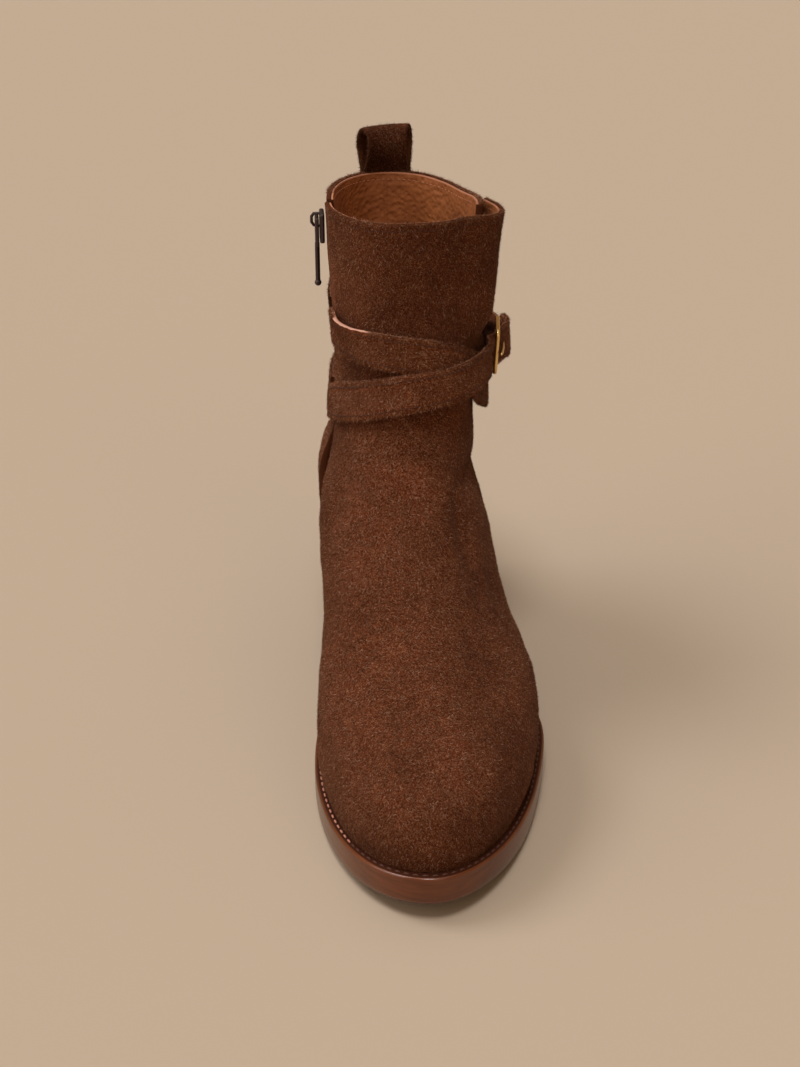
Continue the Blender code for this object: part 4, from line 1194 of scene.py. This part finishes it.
def build_straps():
    def curl(around, share):
        near = smooth(CURL_REACH, 0.0, np.abs(around - CURL_AROUND))
        return CURL_LIFT * near * np.clip(share, 0, 1) ** 2

    reach = float(girth(up_at(REAR_BAR_AROUND, BUCKLE_HEIGHT)))
    turns = np.linspace(-math.pi / 2, math.pi / 2, 12)
    fold = np.stack([
        REAR_BAR_AROUND - FOLD_RADIUS * np.cos(turns) / reach,
        np.full(len(turns), BUCKLE_HEIGHT),
        REAR_BAR_LIFT + FOLD_RADIUS * np.sin(turns),
    ], 1)
    upper, buckled = spline(UPPER_STRAP, 12), spline(BUCKLED_STRAP, 12)
    base = np.concatenate([np.asarray(BASE_UNDER), fold, spline(BASE_STRAP, 10)])
    seams = [
        build_strap(
            "strap_upper_suede", upper, STRAP_THICK, 3, ("strap_upper",), lift_extra=curl, pale=CURL_PALE,
        ),
        build_strap("strap_buckled_suede", buckled, STRAP_THICK, 5, ("strap_buckled",), tip=STRAP_TIP),
        build_strap("strap_base_suede", base, BASE_THICK, 7, ("strap_base",)),
    ]
    stitches("strap_stitches", *joined(seams), length=1.6, radius=0.27, material=THREAD, slot="brown_suede")
    nap("strap_nap", FURRED, STRAP_NAP, seed=3, finishes=STRAP_FIBRES)
    fuzz = [(grid, outside, np.where(weight > 1.0, 1.0, 0.0)) for grid, outside, weight in FURRED]
    nap("strap_fuzz", fuzz, STRAP_FUZZ, FUZZ_LENGTH, seed=4, finishes=STRAP_FIBRES)


# Buckle

def local_frame(around, height, lift):
    """Place above the upper in metres, and the direction up the surface there."""
    up = up_at(around, height)
    origin = place(lifted(around, up, lift))
    ahead = place(lifted(around - 0.01, up_at(around - 0.01, height), lift)) - origin
    out = unit(place(lifted(around, up, lift + 1.0)) - origin)
    return origin, np.cross(out, unit(ahead - out * np.dot(ahead, out)))


BAR_SIDES = 20
# Sections as (wide, thick), and how square their corners are
FRAME_BAR, FRAME_SQUARE = (2.5, 1.9), 2.6
PRONG_SECTION, PRONG_SQUARE = (1.9, 1.5), 2.2
PRONG_PAST = 1.7
PRONG_SINK = 0.2
PRONG_BOW = 0.7


def swept_bar(name, path, across, section, squareness, cyclic, replaces, taper=1.0):
    """A brass bar along a path in metres, rounded and flat. across is the section's flat direction."""
    wide, thick = section
    path = np.asarray(path)
    ahead = ahead_of(path) if cyclic else unit(np.gradient(path, axis=0))
    flat = unit(np.cross(across, ahead))
    out = np.cross(ahead, flat)
    angles = np.arange(BAR_SIDES) * 2 * math.pi / BAR_SIDES
    ring = np.stack([
        np.sign(np.cos(angles)) * np.abs(np.cos(angles)) ** (2 / squareness) * wide / 2,
        np.sign(np.sin(angles)) * np.abs(np.sin(angles)) ** (2 / squareness) * thick / 2,
    ], 1) * MM
    rings = flat[:, None] * ring[None, :, :1] + out[:, None] * ring[None, :, 1:]
    points = path[:, None] + rings * np.broadcast_to(taper, len(path))[:, None, None]
    if cyclic:
        faces = grid_faces(len(path), BAR_SIDES, closed_rows=True, closed_columns=True)
    else:
        faces = tube_faces(len(path), BAR_SIDES)
    add_piece(name, points, faces, [BRASS], replaces=replaces)


def build_buckle():
    end, end_up = local_frame(END_BAR_AROUND, BUCKLE_HEIGHT, END_BAR_LIFT)
    rear, rear_up = local_frame(REAR_BAR_AROUND, BUCKLE_HEIGHT, REAR_BAR_LIFT)
    y = unit(end_up + rear_up)
    x = unit(end - rear)
    y = unit(y - x * np.dot(x, y))
    out = np.cross(x, y)
    half = (BUCKLE_TALL - BUCKLE_BAR) / 2 * MM
    corner, steps = BUCKLE_CORNER * MM, 8
    path = []
    for base, inwards, ups in ((end, -1, (1, -1)), (rear, 1, (-1, 1))):
        for turn, up in enumerate(ups):
            centre = base + x * inwards * corner + y * up * (half - corner)
            for k in range(steps + 1):
                angle = math.pi / 2 * (k / steps if turn else 1 - k / steps)
                arc = y * up * math.sin(angle) - x * inwards * math.cos(angle)
                path.append(centre + arc * corner)
            if turn == 0:
                for k in range(1, 6):
                    path.append(base + y * up * mix(half - corner, -(half - corner), k / 6))
    swept_bar("buckle_brass_frame", path, out, FRAME_BAR, FRAME_SQUARE, True, ("buckle_frame",))
    clear = (BUCKLE_BAR / 2 + PRONG_BAR / 2 + GAP) * MM
    tip = end + out * (clear - PRONG_SINK * MM) + x * PRONG_PAST * MM
    root = rear + out * clear
    t = np.linspace(0, 1, 24)[:, None]
    line = root * (1 - t) + tip * t + out * (np.sin(np.pi * t) * PRONG_BOW * MM)
    taper = np.interp(t[:, 0], [0, 0.9, 1], [1.0, 0.85, 0.45])
    swept_bar("buckle_brass_prong", line, out, PRONG_SECTION, PRONG_SQUARE, False, ("buckle_prong",), taper)


# Pull loop: its path as (distance behind the collar, height over it)
LOOP_PATH = (
    (1.3, -26.0), (1.3, -12.0), (1.4, -1.0), (2.6, 5.0), (4.2, 10.0), (4.2, 14.6), (2.4, 18.4),
    (-0.6, 19.8), (-3.6, 18.4), (-5.2, 14.4), (-4.8, 9.6), (-3.0, 5.0), (-1.6, 1.2),
)
LOOP_TWIST = 0.011
LOOP_NAP = 9000


def build_pull_loop():
    """A folded suede strip over the back of the collar."""
    path = spline(LOOP_PATH, 8)
    profile, kinds = strap_profile(LOOP_THICK)
    count = len(profile)
    shares, heights = np.array(profile).T
    heights = heights - LOOP_THICK / 2
    around = 0.5 + shares * LOOP_WIDTH / 2 / float(girth(1.0))
    top = np.ones_like(around)
    rim = sample(POINTS, around, top)
    flat = unit(sample(NORMALS, around, top) * [1, 1, 0])
    rows = []
    for (behind, above), (back, rise) in zip(path, unit(np.gradient(path, axis=0))):
        depth = behind + rise * heights
        lift = above - back * heights
        if above < 0:
            row = lifted(around, up_at(around, rim[:, 2] + lift), depth)
        else:
            row = rim + flat * depth[:, None]
            row[:, 2] += lift
            row[:, 1] -= LOOP_TWIST * above * (row[:, 0] - HEEL_X)
        rows.append(row)
    points = np.stack(rows)
    add_piece(
        "pull_loop_suede", place(points), [f[::-1] for f in tube_faces(len(rows), count)],
        [LOOP_SUEDE, SUEDE_EDGE, SUEDE_EDGE], [*np.tile(kinds, len(rows) - 1), 2, 2],
        replaces=("pull_loop",), smooth_angle=55,
    )
    outside = np.zeros((len(rows) - 1, count, 3))
    outside[:, :10] = np.cross(np.diff(points[:, 5], axis=0), points[:-1, 10] - points[:-1, 0])[:, None]
    closed = np.concatenate([points, points[:, :1]], axis=1)
    edges = np.where(np.abs(np.diff(closed[0, :, 0])) < 0.5, 3.0, 0.6)
    weight = np.where(np.arange(count) < 10, 1.0, edges)
    nap("pull_loop_nap", [(closed, outside, weight[None, :])], LOOP_NAP, seed=9, finishes=LOOP_FIBRES)


# Zip

ZIP_TOP = 0.992
TAPE_MARGIN = 1.2
TAPE_DEPTHS = (1.7, 2.4)
COIL_PITCH = 1.25
COIL_OFFSET = 0.85
COIL_DEPTH = 1.25


def build_zip():
    """Woven tape with two rows of coil in the slot."""
    ups = np.linspace(ZIP_FOOT, ZIP_TOP, 140)
    shares = np.array([-1.0, -0.5, -0.2, 0.0, 0.2, 0.5, 1.0])
    around = zip_at(ups)[:, None] + shares[None, :] * (ZIP_SLOT / 2 + TAPE_MARGIN) / girth(ups)[:, None]
    level = np.broadcast_to(ups[:, None], around.shape)
    sink = zip_hollow(zip_at(ups), ups)
    top, under = (lifted(around, level, -depth - sink[:, None]) for depth in TAPE_DEPTHS)
    faces = grid_faces(len(ups), len(shares))
    faces = np.concatenate([faces, faces[:, ::-1] + around.size])
    add_piece(
        "zip_tape_strip", place(np.concatenate([top, under])), faces, [ZIP_TAPE],
        replaces=("zip_chain",),
    )
    along = run_length(top[:, 3])
    count = int(along[-1] / COIL_PITCH)
    teeth = []
    for side in (-1, 1):
        at = np.interp((np.arange(count) + 0.25 * (side + 1)) * COIL_PITCH, along, ups)
        middle = zip_at(at) + side * COIL_OFFSET / girth(at)
        deep = -COIL_DEPTH - np.interp(at, ups, sink)
        here = lifted(middle, at, deep)
        inner = lifted(zip_at(at), at, deep)
        rise = unit(lifted(middle, np.minimum(1, at + 0.005), deep) - here)
        teeth.append((here, unit(here - inner) + 0.35 * side * rise, sample(NORMALS, middle, at)))
    stitches(
        "zip_coil_teeth", *joined(teeth), length=2.2, radius=0.5, material=ZIP_COIL, slot="zip_tape", bow=0.1,
    )


# Seams on the upper: distances of the rows from their edges, in millimetres

SEAM_PITCH = 2.3
ZIP_STITCH = 2.6
EDGE_STITCH = 2.4
COLLAR_STITCH = 2.2
LINING_STITCH = 2.4
LINING_STITCH_LIFT = 0.04
STITCH_RISE = 0.02
# Where the rows start and stop, in shares of up
ZIP_ROWS = (0.10, 0.985)
EDGE_ROW = (0.03, 0.98)
# Section of the lining's back seam: (across, height)
BACK_SEAM = ((-1.1, -0.2), (-0.7, 0.22), (-0.2, 0.42), (0.0, 0.2), (0.2, 0.42), (0.7, 0.22), (1.1, -0.2))


def seam(places, start, stop, lift_of):
    """Stitch places along a line on a skin. places gives around and up for values from start to stop."""
    fine = np.linspace(start, stop, 600)
    around, up = places(fine)
    along = run_length(lifted(around, up, lift_of(around, up)))
    at = np.interp(np.arange(SEAM_PITCH / 2, along[-1], SEAM_PITCH), along, fine)
    around, up = places(at)
    here = lifted(around, up, lift_of(around, up) + STITCH_RISE)
    return here, np.gradient(here, axis=0), sample(NORMALS, around, up)


def below_collar(drop):
    return lambda around: (around, collar_level(around, np.full(around.shape, 1 - drop / COLLAR_RISE)))


def build_seams():
    front = (float(zip_at(1.0)) - 1 + 0.02, FLAP_EDGE - 0.008)
    rear = (FLAP_EDGE + 0.01, float(zip_at(1.0)) - 0.02)
    outside, inside = below_collar(COLLAR_STITCH), below_collar(LINING_STITCH)
    rows = [
        seam(outside, *front, front_lift),
        seam(outside, *rear, quarter_lift),
        seam(lambda u: (zip_at(u) - 1 + (zip_gap(u) + ZIP_STITCH) / girth(u), u), *ZIP_ROWS, front_lift),
        seam(lambda u: (zip_at(u) - (zip_gap(u) + ZIP_STITCH) / girth(u), u), *ZIP_ROWS, quarter_lift),
        seam(lambda u: (seam_at(u) - EDGE_STITCH / girth(u), u), *EDGE_ROW, front_lift),
    ]
    stitches("upper_stitches", *joined(rows), length=1.6, radius=0.26, material=THREAD, slot="brown_suede")
    rows = [
        seam(inside, *front, lambda a, u: front_lift(a, u) - WALL - LINING_STITCH_LIFT),
        seam(inside, *rear, lambda a, u: quarter_lift(a, u) - QUARTER_THICK - LINING_STITCH_LIFT),
    ]
    points, along, out = joined(rows)
    stitches(
        "lining_stitches", points, along, -out, length=1.5, radius=0.17, material=RAW_EDGE, slot="tan_lining",
    )


def build_lining_seam():
    """The lining's raised seam down the back."""
    ups = np.linspace(0.45, 0.985, 90)
    columns = []
    for across, height in BACK_SEAM:
        around = 0.5 + across / girth(ups)
        columns.append(lifted(around, ups, quarter_lift(around, ups) - QUARTER_THICK - height))
    faces = grid_faces(len(ups), len(BACK_SEAM))
    add_piece("lining_back_seam", place(np.stack(columns, 1)), faces, [LINING])


def finish_cad():
    """Finishes of the CAD nodes that stay."""
    for name, material in (("insole", LINING), ("zip_slider", ZIP_METAL), ("zip_pull", ZIP_METAL)):
        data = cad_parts[name].data
        data.materials.clear()
        data.materials.append(material)


# Camera, floor and light

CAMERA_PLACE = (-55.7, 800.0, 485.0)
CAMERA_PITCH = 30.4
CAMERA_YAW = 4.25
SENSOR = 36.0
# The photo's focal length and long side, in its pixels
PHOTO_FOCAL = 1900.0
PHOTO_TALL = 1067.0
FLOOR_SIZE = 30
FLOOR_DROP = 0.0002
FLOOR_COLOUR = (0.3440, 0.2690, 0.2010)
SKY_COLOUR = (1.0, 0.67, 0.38)
SKY_STRENGTH = 0.27
# Soft lights: turn from the front by the left, rise and spread in degrees, strength and colour
LIGHTS = (
    ("key", 106, 55, 24, 1.35, (0.96, 0.98, 1.0)),
    ("high", 16, 73, 16, 1.72, (0.96, 0.98, 1.0)),
    ("side", 78, 22, 50, 1.15, (1.0, 0.95, 0.88)),
    ("top", 180, 80, 60, 0.80, (0.92, 0.97, 1.0)),
    ("fill", -10, 34, 60, 0.62, (1.0, 0.83, 0.62)),
)


def build_stage():
    camera = bpy.data.cameras.new("camera")
    camera.lens = SENSOR * PHOTO_FOCAL / PHOTO_TALL
    camera.sensor_width = SENSOR
    camera.clip_end = 50.0
    holder = add_object("camera", camera)
    holder.location = place(np.array(CAMERA_PLACE))
    holder.rotation_euler = (math.radians(90 - CAMERA_PITCH), 0, math.radians(-CAMERA_YAW))
    bpy.context.scene.camera = holder

    bpy.ops.mesh.primitive_plane_add(size=FLOOR_SIZE, location=(0, 0, -FLOOR_DROP))
    floor = bpy.context.object
    floor.name = "floor"
    floor.data.materials.append(make_plain("pale_floor", FLOOR_COLOUR, 0.9, specular=0.15))

    world = bpy.data.worlds.new("studio")
    bpy.context.scene.world = world
    world.use_nodes = True
    set_inputs(world.node_tree.nodes["Background"], {"Color": (*SKY_COLOUR, 1), "Strength": SKY_STRENGTH})
    for name, turn, rise, spread, power, colour in LIGHTS:
        light = bpy.data.lights.new(name, "SUN")
        light.angle = math.radians(spread)
        light.energy = power
        light.color = colour
        turn, rise = math.radians(turn), math.radians(rise)
        source = Vector((-math.sin(turn) * math.cos(rise), -math.cos(turn) * math.cos(rise), math.sin(rise)))
        add_object(name, light).rotation_euler = source.to_track_quat("Z", "Y").to_euler()
    bpy.context.scene.view_settings.view_transform = "Standard"


build_upper()
build_sole()
build_welt_stitches()
build_heel()
build_straps()
build_buckle()
build_pull_loop()
build_zip()
build_seams()
build_lining_seam()
finish_cad()
build_stage()
